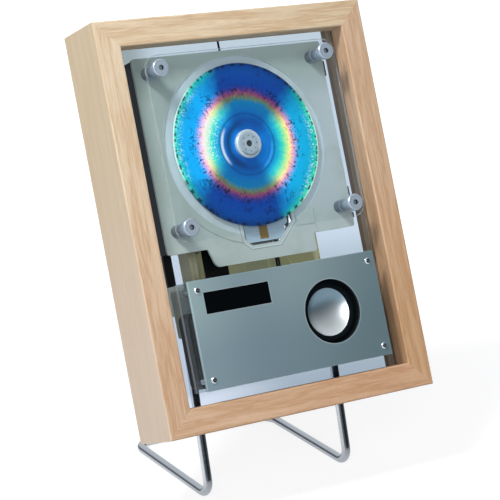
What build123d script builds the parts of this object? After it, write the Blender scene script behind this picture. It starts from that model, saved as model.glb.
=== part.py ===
"""Wall mounted disc player in a mitred wooden box frame, standing on a bent rod.

The frame leans back on its stand, so most pieces are drawn on planes parallel to the
front of the frame.  On those planes x runs to the right, y runs up the frame from its
bottom edge, and z ("level") runs out of the front: level 0 is the front of the frame.
The model's own frame is millimetres, +Z up, front towards -Y, and the origin lies on
the ground under the middle of the whole player.
"""
from math import cos, radians, sin, tan
import os

from build123d import *

os.makedirs("parts", exist_ok=True)

# ---------------------------------------------------------------- driving sizes
# wooden frame
FRAME_WIDTH = 223.0
FRAME_HEIGHT = 294.0
FRAME_DEPTH = 49.0
RAIL_FACE = 19.0            # width of a rail's front lip
LIP_LEVEL = -15.0           # back of the lip
RAIL_WAIST = 9.5            # width of a rail between the lip and the clear panel
REBATE_LEVEL = -29.0        # step that the clear back panel bears on
RAIL_BACK = 6.5             # width of a rail behind the step
ARRIS_RADIUS = 1.2
LEAN = 22.0                 # degrees that the frame leans back
FRAME_LIFT = 69.5           # front bottom edge above the ground

# clear back panel, held by beads
PANEL_THICKNESS = 3.0
PANEL_CLEARANCE = 0.3
BEAD_WIDTH = 3.0
BEAD_DEPTH = 7.0

# bent rod stand
ROD_RADIUS = 3.3
STAND_HALF_WIDTH = 60.4
STAND_REACH = 115.0         # from the feet back to the crossbar
RISER_LEAN = 17.0
FOOT_BEND = 9.0
REAR_BEND = 13.0
RISER_CROSSING = 12.0       # height up the frame's back edge that the risers pass behind
ROD_GAP = 0.3
ROD_CHAMFER = 0.5

# disc drive: moulded deck plate on a black tray
DECK_HALF_WIDTH = 79.5
DECK_BOTTOM = 126.6
DECK_TOP = 268.0
DECK_CORNER = 2.2
TAB_LEFT = -42.5
TAB_RIGHT = 43.0
TAB_BOTTOM = 113.0
TAB_SLANT = 4.5
DECK_LEVEL = -15.0          # front surface of the deck plate
DECK_THICKNESS = 2.0
HOUSING_INSET = 0.6
HOUSING_WALL = 1.8
HOUSING_FLOOR = 1.6
HOUSING_TAB_LEFT = -22.0
LATCH_REACH = 3.0
LATCH_THICKNESS = 2.0

# disc and turntable
DISC_HEIGHT = 197.5         # centre of the disc above the bottom of the frame
DISC_RADIUS = 60.0
DISC_HOLE = 7.5
DISC_THICKNESS = 1.2
DISC_SEAT = -13.7           # level that the disc lies on
WELL_RADIUS = 66.0
WELL_DEPTH = 0.8
HUB_OPENING = 18.0
TURNTABLE_RADIUS = 14.5
HUB_FIT = 0.05
CLAMP_RADIUS = 10.5
CLAMP_HEIGHT = 3.2
SPINDLE_RADIUS = 1.0
MOTOR_RADIUS = 10.8

# pickup sled and its drive
CHASSIS_THICKNESS = 1.0
GROMMET_HEIGHT = 1.5
GROMMET_RADIUS = 3.4
SLED_LEFT = -13.2
SLED_RIGHT = 20.0
SLED_PLATE_RIGHT = 23.8
SLED_PLATE_CHAMFER = 11.0
SLED_PLATE_THICKNESS = 1.2
SLED_BOTTOM = 126.4
SLED_LENGTH = 29.6
SLED_TOP_LEVEL = -17.8
SLED_BASE_LEVEL = -24.4
SLED_IN = 28.0              # travel towards the spindle
SLED_OUT = 3.0              # travel towards the rim
GUIDE_RADIUS = 1.5
GUIDE_LEVEL = -21.1
GUIDE_LEFT = -11.5
GUIDE_RIGHT = 16.5
SCREW_SIDE = 28.0
SCREW_RADIUS = 1.5
RUNNING_FIT = 0.06
LENS_RADIUS = 2.4
LENS_HOLDER_RADIUS = 4.7
LENS_GAP = 0.5              # holder to its pocket
FLEX_WIDTH = 7.0

# clear cover on four posts
POST_SIDE = 69.0
POST_LOW = 142.4
POST_HIGH = 256.2
KNOB_RADIUS = 6.2
BARREL_RADIUS = 4.4
COLLAR_RADIUS = 4.8
COLLAR_HEIGHT = 7.0
COLLAR_GROOVE = 0.6
STUD_RADIUS = 2.0
STUD_FIT = 0.05
COVER_BACK_LEVEL = 1.6
COVER_THICKNESS = 3.0
COVER_MARGIN = 9.9          # from a post to the edge of the cover
KNOB_HEIGHT = 3.6
KNOB_GAP = 0.05
HEX_ACROSS = 3.0

# speaker and display module
PLATE_HALF_WIDTH = 78.5
PLATE_BOTTOM = 28.0
PLATE_TOP = 105.6
PLATE_LEVEL = 3.6
PLATE_THICKNESS = 2.0
PLATE_SCREW_SIDE_INSET = 6.5
PLATE_SCREW_END_INSET = 7.2
WINDOW_LEFT = -67.7
WINDOW_RIGHT = -14.4
WINDOW_BOTTOM = 81.0
WINDOW_TOP = 96.4
WINDOW_FIT = 0.2
WINDOW_RECESS = 0.4
SPEAKER_SIDE = 34.3
SPEAKER_HEIGHT = 67.0
SPEAKER_HOLE = 23.4
CONE_RADIUS = 17.3
CONE_LEVEL = -2.4
CONE_DEPTH = 4.6
MAGNET_RADIUS = 13.0
BOX_SIDE_INSET = 10.7       # from the side of the faceplate to the front box
BOX_BOTTOM = 32.0
BOX_TOP = 99.0
BOX_CORNER = 5.0
BOX_WALL = 2.0
CARRIER_LEVEL = -12.0
CARRIER_THICKNESS = 3.0
REAR_BOX_SIDE_INSET = 4.5
REAR_BOX_BOTTOM = 30.0
REAR_BOX_TOP = 84.0
WIRING_TOP = 105.0

# electronics housing behind the clear panel
BACK_HALF_WIDTH = 55.0
BACK_BOTTOM = 40.0
BACK_TOP = 240.0
BACK_WALL = 2.0
BACK_DEPTH = 13.0
LID_THICKNESS = 2.0
KEYHOLE_SIDE = 30.0
KEYHOLE_HEIGHT = 205.0
KEYHOLE_RADIUS = 4.5
KEYHOLE_SLOT = 4.6
KEYHOLE_RISE = 10.0
SCREW_POST_SIDE = 48.0
SCREW_POST_LOW = 48.0
SCREW_POST_HIGH = 228.0
SCREW_POST_RADIUS = 4.0
LONG_SCREW_RADIUS = 1.5
SCREW_FIT = 0.05
BUTTON_HEIGHT = 82.0
BUTTON_PITCH = 14.0
BUTTON_COUNT = 4
BUTTON_RADIUS = 3.0
BUTTON_FIT = 0.1
BUTTON_PROUD = 0.9
BUTTON_TRAVEL = 0.5
SWITCH_TRAVEL = 3.0
SOCKET_WIDTH = 11.0
SOCKET_BOTTOM = 68.0
SOCKET_TOP = 102.0
SOCKET_ROD_DEPTH = 30.0

# ---------------------------------------------------------------- planes
lean_sin, lean_cos = sin(radians(LEAN)), cos(radians(LEAN))
# ground covered by the leaning frame, from its front bottom to its back top edge
ground_depth = FRAME_HEIGHT * lean_sin + FRAME_DEPTH * lean_cos
FACE = Plane(
    origin=(0, -ground_depth / 2, FRAME_LIFT),
    x_dir=(1, 0, 0),
    z_dir=(0, -lean_cos, lean_sin),
)


def level(height):
    """Plane parallel to the front of the frame."""
    return FACE.offset(height)


def spot(x, y, height):
    """Plane parallel to the front, with its origin at a point of the frame."""
    return Plane(origin=FACE.from_local_coords((x, y, height)), x_dir=FACE.x_dir, z_dir=FACE.z_dir)


def upright(x, y, height):
    """Plane whose normal runs up the frame, for pieces that lie along it."""
    return Plane(origin=FACE.from_local_coords((x, y, height)), x_dir=FACE.x_dir, z_dir=FACE.y_dir)


def axial(x, y):
    """Plane through an axis that points out of the front: x is radius, y is level."""
    return Plane(origin=FACE.from_local_coords((x, y, 0)), x_dir=FACE.x_dir, z_dir=-FACE.y_dir)


def front_axis(x, y):
    """Axis that points out of the front at a point of the frame."""
    return Axis(FACE.from_local_coords((x, y, 0)), FACE.z_dir)


def dome_point(radius, crown, base):
    """Point halfway out on a spherical dome of a rim radius and crown above a base level."""
    sphere = (radius**2 + crown**2) / (2 * crown)
    return (radius / 2, base + crown - sphere + (sphere**2 - radius**2 / 4) ** 0.5)


# levels that follow from the driving sizes
panel_back = REBATE_LEVEL - PANEL_THICKNESS
deck_back = DECK_LEVEL - DECK_THICKNESS
floor_level = REBATE_LEVEL + HOUSING_FLOOR
chassis_base = floor_level + GROMMET_HEIGHT
chassis_top = chassis_base + CHASSIS_THICKNESS
motor_top = SLED_TOP_LEVEL - 0.4
cover_front = COVER_BACK_LEVEL + COVER_THICKNESS
plate_back = PLATE_LEVEL - PLATE_THICKNESS
carrier_back = CARRIER_LEVEL - CARRIER_THICKNESS
back_open = panel_back - BACK_DEPTH
lid_level = back_open - LID_THICKNESS
box_half_width = PLATE_HALF_WIDTH - BOX_SIDE_INSET
rear_box_half_width = PLATE_HALF_WIDTH - REAR_BOX_SIDE_INSET
post_spots = [(side * POST_SIDE, high) for high in (POST_HIGH, POST_LOW) for side in (-1, 1)]
plate_screw_spots = [
    (side * (PLATE_HALF_WIDTH - PLATE_SCREW_SIDE_INSET), high)
    for high in (PLATE_TOP - PLATE_SCREW_END_INSET, PLATE_BOTTOM + PLATE_SCREW_END_INSET)
    for side in (-1, 1)
]
rebate_width = FRAME_WIDTH - 2 * RAIL_BACK
rebate_height = FRAME_HEIGHT - 2 * RAIL_BACK

# ---------------------------------------------------------------- wooden frame


def frame_member(corner, length):
    """Mitred member, thinner towards the back; corner has x along the outer edge and y inwards."""
    with BuildPart() as member:
        for front, back, width in (
            (0, LIP_LEVEL, RAIL_FACE),
            (LIP_LEVEL, REBATE_LEVEL, RAIL_WAIST),
            (REBATE_LEVEL, -FRAME_DEPTH, RAIL_BACK),
        ):
            with BuildSketch(corner.offset(front)):
                Polygon((0, 0), (length, 0), (length - width, width), (width, width), align=None)
            extrude(amount=back - front)
        along = member.edges().filter_by(Axis(corner.origin, corner.x_dir))
        front_edges = along.filter_by(lambda edge: corner.to_local_coords(edge.center()).Z > -0.1)
        outer_back = along.filter_by(
            lambda edge: corner.to_local_coords(edge.center()).Z < 0.1 - FRAME_DEPTH
            and corner.to_local_coords(edge.center()).Y < 0.1
        )
        fillet(front_edges + outer_back, radius=ARRIS_RADIUS)
    return member


def frame_corner(x, y, direction):
    """Plane at an outer corner of the frame, with its x along the next member."""
    return Plane(origin=FACE.from_local_coords((x, y, 0)), x_dir=direction, z_dir=FACE.z_dir)


half_width = FRAME_WIDTH / 2
frame_bottom_rail = frame_member(frame_corner(-half_width, 0, FACE.x_dir), FRAME_WIDTH)
frame_bottom_rail.part.label = "frame_bottom_rail"
export_step(frame_bottom_rail.part, "parts/frame_bottom_rail.step")

frame_right_stile = frame_member(frame_corner(half_width, 0, FACE.y_dir), FRAME_HEIGHT)
frame_right_stile.part.label = "frame_right_stile"
export_step(frame_right_stile.part, "parts/frame_right_stile.step")

frame_top_rail = frame_member(frame_corner(half_width, FRAME_HEIGHT, -FACE.x_dir), FRAME_WIDTH)
frame_top_rail.part.label = "frame_top_rail"
export_step(frame_top_rail.part, "parts/frame_top_rail.step")

frame_left_stile = frame_member(frame_corner(-half_width, FRAME_HEIGHT, -FACE.y_dir), FRAME_HEIGHT)
frame_left_stile.part.label = "frame_left_stile"
export_step(frame_left_stile.part, "parts/frame_left_stile.step")

# ---------------------------------------------------------------- clear back panel
long_screw_spots = [
    (side * SCREW_POST_SIDE, high) for high in (SCREW_POST_HIGH, SCREW_POST_LOW) for side in (-1, 1)
]
CABLE_SLOT_WIDTH = 24.0
CABLE_SLOT_HEIGHT = 6.0
CABLE_SLOT_LOW = 66.0
CABLE_SLOT_HIGH = 160.0

with BuildPart() as back_panel:
    with BuildSketch(level(panel_back)):
        with Locations((0, FRAME_HEIGHT / 2)):
            Rectangle(rebate_width - 2 * PANEL_CLEARANCE, rebate_height - 2 * PANEL_CLEARANCE)
        with Locations(*long_screw_spots):
            Circle(LONG_SCREW_RADIUS + SCREW_FIT, mode=Mode.SUBTRACT)
        with Locations((0, CABLE_SLOT_LOW), (0, CABLE_SLOT_HIGH)):
            SlotOverall(CABLE_SLOT_WIDTH, CABLE_SLOT_HEIGHT, mode=Mode.SUBTRACT)
    extrude(amount=PANEL_THICKNESS)
back_panel.part.label = "back_panel"
export_step(back_panel.part, "parts/back_panel.step")

bead_x = (rebate_width - BEAD_WIDTH) / 2
bead_y = (rebate_height - BEAD_WIDTH) / 2
with BuildPart() as retaining_beads:
    with BuildSketch(level(panel_back - BEAD_DEPTH)):
        with Locations((0, FRAME_HEIGHT / 2 - bead_y), (0, FRAME_HEIGHT / 2 + bead_y)):
            Rectangle(rebate_width, BEAD_WIDTH)
        with Locations((-bead_x, FRAME_HEIGHT / 2), (bead_x, FRAME_HEIGHT / 2)):
            Rectangle(BEAD_WIDTH, rebate_height - 2 * (BEAD_WIDTH + PANEL_CLEARANCE))
    extrude(amount=BEAD_DEPTH)
retaining_beads.part.label = "retaining_beads"
export_step(retaining_beads.part, "parts/retaining_beads.step")

# ---------------------------------------------------------------- disc drive tray


def deck_outline(inset, tab_left):
    """Outline of the drive: a rectangle with a tab hanging from its lower edge."""
    Polygon(
        (-DECK_HALF_WIDTH + inset, DECK_BOTTOM + inset),
        (-DECK_HALF_WIDTH + inset, DECK_TOP - inset),
        (DECK_HALF_WIDTH - inset, DECK_TOP - inset),
        (DECK_HALF_WIDTH - inset, DECK_BOTTOM + inset),
        (TAB_RIGHT - inset, DECK_BOTTOM + inset),
        (TAB_RIGHT - inset, TAB_BOTTOM + inset),
        (tab_left + inset, TAB_BOTTOM + inset),
        (tab_left + inset - TAB_SLANT, DECK_BOTTOM + inset),
        align=None,
    )


housing_depth = deck_back - REBATE_LEVEL
latch_spans = [(241.6, 252.9), (149.9, 156.8), (133.0, 137.2)]
housing_edge = DECK_HALF_WIDTH - HOUSING_INSET
BOSS_RADIUS = 4.4

with BuildPart() as mechanism_housing:
    with BuildSketch(level(REBATE_LEVEL)) as outline:
        deck_outline(HOUSING_INSET, HOUSING_TAB_LEFT)
        fillet(outline.vertices(), radius=DECK_CORNER)
    extrude(amount=housing_depth)
    with BuildSketch(level(floor_level)):
        deck_outline(HOUSING_INSET + HOUSING_WALL, HOUSING_TAB_LEFT)
        with Locations(*post_spots):
            Circle(BOSS_RADIUS, mode=Mode.SUBTRACT)
    extrude(amount=housing_depth, mode=Mode.SUBTRACT)
    with BuildSketch(level(floor_level)):
        with Locations(*long_screw_spots[:2]):
            Circle(BOSS_RADIUS)
    extrude(amount=GROMMET_HEIGHT + CHASSIS_THICKNESS)
    with BuildSketch(level(deck_back)):
        for low, high in latch_spans:
            with Locations((housing_edge, (low + high) / 2)):
                Rectangle(2 * LATCH_REACH, high - low)
    extrude(amount=-LATCH_THICKNESS)
    with BuildSketch(level(REBATE_LEVEL + HOUSING_FLOOR)):
        with Locations(*post_spots):
            Circle(STUD_RADIUS + STUD_FIT)
    extrude(amount=housing_depth, mode=Mode.SUBTRACT)
    with BuildSketch(level(REBATE_LEVEL)):
        with Locations(*long_screw_spots[:2]):
            Circle(LONG_SCREW_RADIUS + SCREW_FIT)
    extrude(amount=HOUSING_FLOOR + GROMMET_HEIGHT, mode=Mode.SUBTRACT)
mechanism_housing.part.label = "mechanism_housing"
export_step(mechanism_housing.part, "parts/mechanism_housing.step")

# moulded deck plate with the disc well, the pickup slot and moulded lines
SLOT_LEFT = -14.9
SLOT_RIGHT = 27.0
SLOT_BOTTOM = 124.4
SLOT_LEFT_CHAMFER = 5.0
SLOT_RIGHT_CHAMFER = 14.0
SLOT_BEVEL = 2.6            # from the slot to the edge of the recess round it
RECESS_DEPTH = 0.7
ARC_RADIUS = 72.6           # moulded arc below the well, left of the slot
ARC_FROM = 222.0
ARC_TO = 256.0
RIB_SIDE = 46.2             # moulded line right of the tab
RIB_TOP = 144.0
RIB_STEP_HEIGHT = 133.2
TAB_CORNER = 5.0
GROOVE_WIDTH = 0.7
GROOVE_DEPTH = 0.5


def slot_outline(grow):
    """Slot for the pickup, chamfered at its two lower corners and open to the hub."""
    left, right, bottom = SLOT_LEFT - grow, SLOT_RIGHT + grow, SLOT_BOTTOM - grow
    Polygon(
        (left, DISC_HEIGHT),
        (left, bottom + SLOT_LEFT_CHAMFER),
        (left + SLOT_LEFT_CHAMFER, bottom),
        (right - SLOT_RIGHT_CHAMFER, bottom),
        (right, bottom + SLOT_RIGHT_CHAMFER),
        (right, DISC_HEIGHT - HUB_OPENING),
        (HUB_OPENING, DISC_HEIGHT),
        align=None,
    )


with BuildPart() as deck_plate:
    with BuildSketch(level(deck_back)) as outline:
        deck_outline(0, TAB_LEFT)
        tab_corner = outline.vertices().sort_by_distance((TAB_LEFT, TAB_BOTTOM, 0))[0]
        others = [v for v in outline.vertices() if v != tab_corner]
        fillet(tab_corner, radius=TAB_CORNER)
        fillet(
            outline.vertices().filter_by(
                lambda v: min((v.center() - o.center()).length for o in others) < 0.01
            ),
            radius=DECK_CORNER,
        )
    extrude(amount=DECK_THICKNESS)
    # round well under the disc, and the recess round the slot
    with BuildSketch(level(DECK_LEVEL - WELL_DEPTH)):
        with Locations((0, DISC_HEIGHT)):
            Circle(WELL_RADIUS)
    extrude(amount=WELL_DEPTH, mode=Mode.SUBTRACT)
    with BuildSketch(level(DECK_LEVEL - RECESS_DEPTH)):
        slot_outline(SLOT_BEVEL)
    extrude(amount=RECESS_DEPTH, mode=Mode.SUBTRACT)
    # moulded lines: an arc round the well, and an angle beside the tab
    with BuildSketch(level(DECK_LEVEL - GROOVE_DEPTH)):
        with BuildLine():
            CenterArc((0, DISC_HEIGHT), ARC_RADIUS, ARC_FROM, ARC_TO - ARC_FROM)
        trace(line_width=GROOVE_WIDTH)
        with BuildLine():
            Line((SLOT_RIGHT + SLOT_BEVEL, RIB_STEP_HEIGHT), (RIB_SIDE, RIB_STEP_HEIGHT))
        trace(line_width=GROOVE_WIDTH)
        with BuildLine():
            Line((RIB_SIDE, DECK_BOTTOM + DECK_CORNER), (RIB_SIDE, RIB_TOP))
        trace(line_width=GROOVE_WIDTH)
    extrude(amount=GROOVE_DEPTH, mode=Mode.SUBTRACT)
    # slot for the pickup, opening for the turntable and holes for the posts' studs
    with BuildSketch(level(deck_back)):
        slot_outline(0)
        with Locations((0, DISC_HEIGHT)):
            Circle(HUB_OPENING)
        with Locations(*post_spots):
            Circle(STUD_RADIUS + STUD_FIT)
    extrude(amount=DECK_THICKNESS, mode=Mode.SUBTRACT)
deck_plate.part.label = "deck_plate"
export_step(deck_plate.part, "parts/deck_plate.step")

# ---------------------------------------------------------------- drive chassis and sled
CHASSIS_LEFT = -36.0
CHASSIS_RIGHT = 40.0
CHASSIS_TOP = 214.0
CHASSIS_LOW_LEFT = -19.0
CHASSIS_BOTTOM = 116.5
CHASSIS_SHOULDER = 130.0
GROMMET_INSET = 4.6
CHASSIS_WINDOW_WIDTH = 14.0
CHASSIS_WINDOW_HEIGHT = 34.0
CHASSIS_WINDOW_DROP = 45.0  # below the spindle
grommet_spots = [
    (CHASSIS_LEFT + GROMMET_INSET, CHASSIS_SHOULDER + GROMMET_INSET),
    (CHASSIS_RIGHT - GROMMET_INSET, CHASSIS_SHOULDER + 4 * GROMMET_INSET),
    (CHASSIS_LEFT + GROMMET_INSET, CHASSIS_TOP - GROMMET_INSET),
    (CHASSIS_RIGHT - GROMMET_INSET, CHASSIS_TOP - GROMMET_INSET),
]
SHOULDER_RADIUS = 1.3
SHOULDER_HEAD = 2.6
SHOULDER_HEAD_HEIGHT = 0.9

with BuildPart() as chassis_plate:
    with BuildSketch(level(chassis_base)) as outline:
        Polygon(
            (CHASSIS_LEFT, CHASSIS_SHOULDER),
            (CHASSIS_LEFT, CHASSIS_TOP),
            (CHASSIS_RIGHT, CHASSIS_TOP),
            (CHASSIS_RIGHT, CHASSIS_BOTTOM),
            (CHASSIS_LOW_LEFT, CHASSIS_BOTTOM),
            (CHASSIS_LOW_LEFT, CHASSIS_SHOULDER),
            align=None,
        )
        fillet(outline.vertices(), radius=DECK_CORNER)
        with Locations(((SLED_LEFT + SLED_RIGHT) / 2, DISC_HEIGHT - CHASSIS_WINDOW_DROP)):
            Rectangle(CHASSIS_WINDOW_WIDTH, CHASSIS_WINDOW_HEIGHT, mode=Mode.SUBTRACT)
        with Locations(*grommet_spots):
            Circle(SHOULDER_RADIUS + SCREW_FIT, mode=Mode.SUBTRACT)
    extrude(amount=CHASSIS_THICKNESS)
chassis_plate.part.label = "chassis_plate"
export_step(chassis_plate.part, "parts/chassis_plate.step")

with BuildPart() as damper_grommets:
    with BuildSketch(level(floor_level)):
        with Locations(*grommet_spots):
            Circle(GROMMET_RADIUS)
            Circle(SHOULDER_RADIUS + SCREW_FIT, mode=Mode.SUBTRACT)
    extrude(amount=GROMMET_HEIGHT)
damper_grommets.part.label = "damper_grommets"
export_step(damper_grommets.part, "parts/damper_grommets.step")

with BuildPart() as chassis_screws:
    with BuildSketch(level(floor_level)):
        with Locations(*grommet_spots):
            Circle(SHOULDER_RADIUS)
    extrude(amount=GROMMET_HEIGHT + CHASSIS_THICKNESS)
    with BuildSketch(level(chassis_top)):
        with Locations(*grommet_spots):
            Circle(SHOULDER_HEAD)
    extrude(amount=SHOULDER_HEAD_HEIGHT)
chassis_screws.part.label = "chassis_screws"
export_step(chassis_screws.part, "parts/chassis_screws.step")

# spindle motor: stator can with a bore that the spindle runs in
MOTOR_FOOT_RADIUS = 11.4
MOTOR_FOOT_HEIGHT = 0.9
SPINDLE_END_GAP = 0.4
with BuildPart() as spindle_motor:
    with BuildSketch(axial(0, DISC_HEIGHT)):
        with BuildLine():
            Polyline(
                (SPINDLE_RADIUS + RUNNING_FIT, chassis_top + MOTOR_FOOT_HEIGHT),
                (SPINDLE_RADIUS + RUNNING_FIT, motor_top),
                (MOTOR_RADIUS - 0.8, motor_top),
                (MOTOR_RADIUS, motor_top - 0.8),
                (MOTOR_RADIUS, chassis_top + MOTOR_FOOT_HEIGHT),
                (MOTOR_FOOT_RADIUS, chassis_top + MOTOR_FOOT_HEIGHT),
                (MOTOR_FOOT_RADIUS, chassis_top),
                (0, chassis_top),
                (0, chassis_top + MOTOR_FOOT_HEIGHT),
                close=True,
            )
        make_face()
    revolve(axis=front_axis(0, DISC_HEIGHT))
spindle_motor.part.label = "spindle_motor"
export_step(spindle_motor.part, "parts/spindle_motor.step")

# turntable: spindle, hub under the disc, flange, centring boss and top pin
FLANGE_THICKNESS = 1.4
HUB_NECK_RADIUS = 6.5
BOSS_HEIGHT = 2.0
PIN_RADIUS = 2.4
PIN_HEIGHT = 1.4
disc_top = DISC_SEAT + DISC_THICKNESS
spindle_end = chassis_top + MOTOR_FOOT_HEIGHT + SPINDLE_END_GAP
hub_base = motor_top + 0.3
with BuildPart() as turntable_hub:
    with BuildSketch(axial(0, DISC_HEIGHT)):
        with BuildLine():
            Polyline(
                (0, spindle_end),
                (SPINDLE_RADIUS, spindle_end),
                (SPINDLE_RADIUS, hub_base),
                (HUB_NECK_RADIUS, hub_base),
                (HUB_NECK_RADIUS, DISC_SEAT - FLANGE_THICKNESS),
                (TURNTABLE_RADIUS, DISC_SEAT - FLANGE_THICKNESS),
                (TURNTABLE_RADIUS, DISC_SEAT),
                (DISC_HOLE - HUB_FIT, DISC_SEAT),
                (DISC_HOLE - HUB_FIT, disc_top),
                (DISC_HOLE - 4 * HUB_FIT - 0.8, DISC_SEAT + BOSS_HEIGHT),
                (PIN_RADIUS, DISC_SEAT + BOSS_HEIGHT),
                (PIN_RADIUS, DISC_SEAT + BOSS_HEIGHT + PIN_HEIGHT),
                (0, DISC_SEAT + BOSS_HEIGHT + PIN_HEIGHT),
                close=True,
            )
        make_face()
    revolve(axis=front_axis(0, DISC_HEIGHT))
turntable_hub.part.label = "turntable_hub"
export_step(turntable_hub.part, "parts/turntable_hub.step")

STACKING_RING = 17.0
STACKING_RING_WIDTH = 0.8
STACKING_RING_HEIGHT = 0.25
with BuildPart() as disc:
    with BuildSketch(axial(0, DISC_HEIGHT)):
        with BuildLine():
            Polyline(
                (DISC_HOLE, DISC_SEAT),
                (DISC_RADIUS, DISC_SEAT),
                (DISC_RADIUS, disc_top),
                (STACKING_RING + STACKING_RING_WIDTH, disc_top),
                (STACKING_RING + STACKING_RING_WIDTH / 2, disc_top + STACKING_RING_HEIGHT),
                (STACKING_RING, disc_top),
                (DISC_HOLE, disc_top),
                close=True,
            )
        make_face()
    revolve(axis=front_axis(0, DISC_HEIGHT))
disc.part.label = "disc"
export_step(disc.part, "parts/disc.step")

# magnetic puck that holds the disc on the hub
PUCK_RECESS = 7.9
PUCK_HOLE_RING = 5.6
PUCK_HOLE_RADIUS = 0.75
PUCK_HOLE_COUNT = 8
PUCK_EDGE = 1.0
PUCK_HOLE_DEPTH = 1.0
puck_top = disc_top + CLAMP_HEIGHT
recess_top = DISC_SEAT + BOSS_HEIGHT + 0.3
with BuildPart() as disc_clamp:
    with BuildSketch(axial(0, DISC_HEIGHT)):
        with BuildLine():
            Polyline(
                (PIN_RADIUS + HUB_FIT, puck_top),
                (PIN_RADIUS + HUB_FIT, recess_top),
                (PUCK_RECESS, recess_top),
                (PUCK_RECESS, disc_top),
                (CLAMP_RADIUS, disc_top),
                (CLAMP_RADIUS, puck_top - PUCK_EDGE),
                (CLAMP_RADIUS - PUCK_EDGE, puck_top),
                close=True,
            )
        make_face()
    revolve(axis=front_axis(0, DISC_HEIGHT))
    with BuildSketch(spot(0, DISC_HEIGHT, puck_top)):
        with PolarLocations(PUCK_HOLE_RING, PUCK_HOLE_COUNT):
            Circle(PUCK_HOLE_RADIUS)
    extrude(amount=-PUCK_HOLE_DEPTH, mode=Mode.SUBTRACT)
disc_clamp.part.label = "disc_clamp"
export_step(disc_clamp.part, "parts/disc_clamp.step")

# guide rods along the frame's height, in holder blocks on the chassis
HOLDER_WIDTH = 5.6
HOLDER_LENGTH = 3.2
HOLDER_TOP = -18.4
GUIDE_END_ROOM = 2.4        # sled to the holders at the ends of its travel
guide_low = SLED_BOTTOM - SLED_OUT - GUIDE_END_ROOM - HOLDER_LENGTH
guide_high = SLED_BOTTOM + SLED_LENGTH + SLED_IN + GUIDE_END_ROOM + HOLDER_LENGTH
holder_height = HOLDER_TOP - chassis_top
guide_length = guide_high - guide_low
guide_sides = (GUIDE_LEFT, GUIDE_RIGHT)
ROD_FIT = 0.02

with BuildPart() as guide_rods:
    for side in guide_sides:
        with BuildSketch(upright(side, guide_low, GUIDE_LEVEL)):
            Circle(GUIDE_RADIUS)
        extrude(amount=guide_length)
guide_rods.part.label = "guide_rods"
export_step(guide_rods.part, "parts/guide_rods.step")

with BuildPart() as rod_holders:
    with BuildSketch(level(chassis_top)):
        for side in guide_sides:
            with Locations((side, guide_low + HOLDER_LENGTH / 2), (side, guide_high - HOLDER_LENGTH / 2)):
                Rectangle(HOLDER_WIDTH, HOLDER_LENGTH)
        with Locations((SCREW_SIDE, guide_high - HOLDER_LENGTH / 2)):
            Rectangle(HOLDER_WIDTH, HOLDER_LENGTH)
    extrude(amount=holder_height)
    for side in guide_sides:
        with BuildSketch(upright(side, guide_low, GUIDE_LEVEL)):
            Circle(GUIDE_RADIUS + ROD_FIT)
        extrude(amount=guide_length, mode=Mode.SUBTRACT)
    with BuildSketch(upright(SCREW_SIDE, guide_low, GUIDE_LEVEL)):
        Circle(SCREW_RADIUS + RUNNING_FIT)
    extrude(amount=guide_length, mode=Mode.SUBTRACT)
rod_holders.part.label = "rod_holders"
export_step(rod_holders.part, "parts/rod_holders.step")

# sled motor lying beside the rods, and the lead screw that it turns
FEED_MOTOR_RADIUS = 3.7
FEED_MOTOR_LOW = 118.5
FEED_MOTOR_HIGH = 139.0
FEED_NOSE_RADIUS = 2.4
FEED_NOSE = 1.2
FEED_BORE_DEPTH = 4.0
SCREW_END_GAP = 0.3
CRADLE_WIDTH = 6.0
feed_length = FEED_MOTOR_HIGH - FEED_MOTOR_LOW
with BuildPart() as sled_motor:
    with BuildSketch(upright(SCREW_SIDE, FEED_MOTOR_LOW, GUIDE_LEVEL)):
        Circle(FEED_MOTOR_RADIUS)
    extrude(amount=feed_length)
    with BuildSketch(upright(SCREW_SIDE, FEED_MOTOR_HIGH, GUIDE_LEVEL)):
        Circle(FEED_NOSE_RADIUS)
    extrude(amount=FEED_NOSE)
    with BuildSketch(spot(SCREW_SIDE, (FEED_MOTOR_LOW + FEED_MOTOR_HIGH) / 2, chassis_top)):
        Rectangle(CRADLE_WIDTH, feed_length - 2 * FEED_NOSE)
    extrude(amount=FEED_MOTOR_RADIUS)
    with BuildSketch(upright(SCREW_SIDE, FEED_MOTOR_HIGH + FEED_NOSE, GUIDE_LEVEL)):
        Circle(SCREW_RADIUS + RUNNING_FIT)
    extrude(amount=-(FEED_BORE_DEPTH + FEED_NOSE), mode=Mode.SUBTRACT)
sled_motor.part.label = "sled_motor"
export_step(sled_motor.part, "parts/sled_motor.step")

with BuildPart() as lead_screw:
    with BuildSketch(upright(SCREW_SIDE, FEED_MOTOR_HIGH - FEED_BORE_DEPTH + SCREW_END_GAP, GUIDE_LEVEL)):
        Circle(SCREW_RADIUS)
    extrude(amount=guide_high - FEED_MOTOR_HIGH + FEED_BORE_DEPTH - SCREW_END_GAP)
lead_screw.part.label = "lead_screw"
export_step(lead_screw.part, "parts/lead_screw.step")

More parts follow.
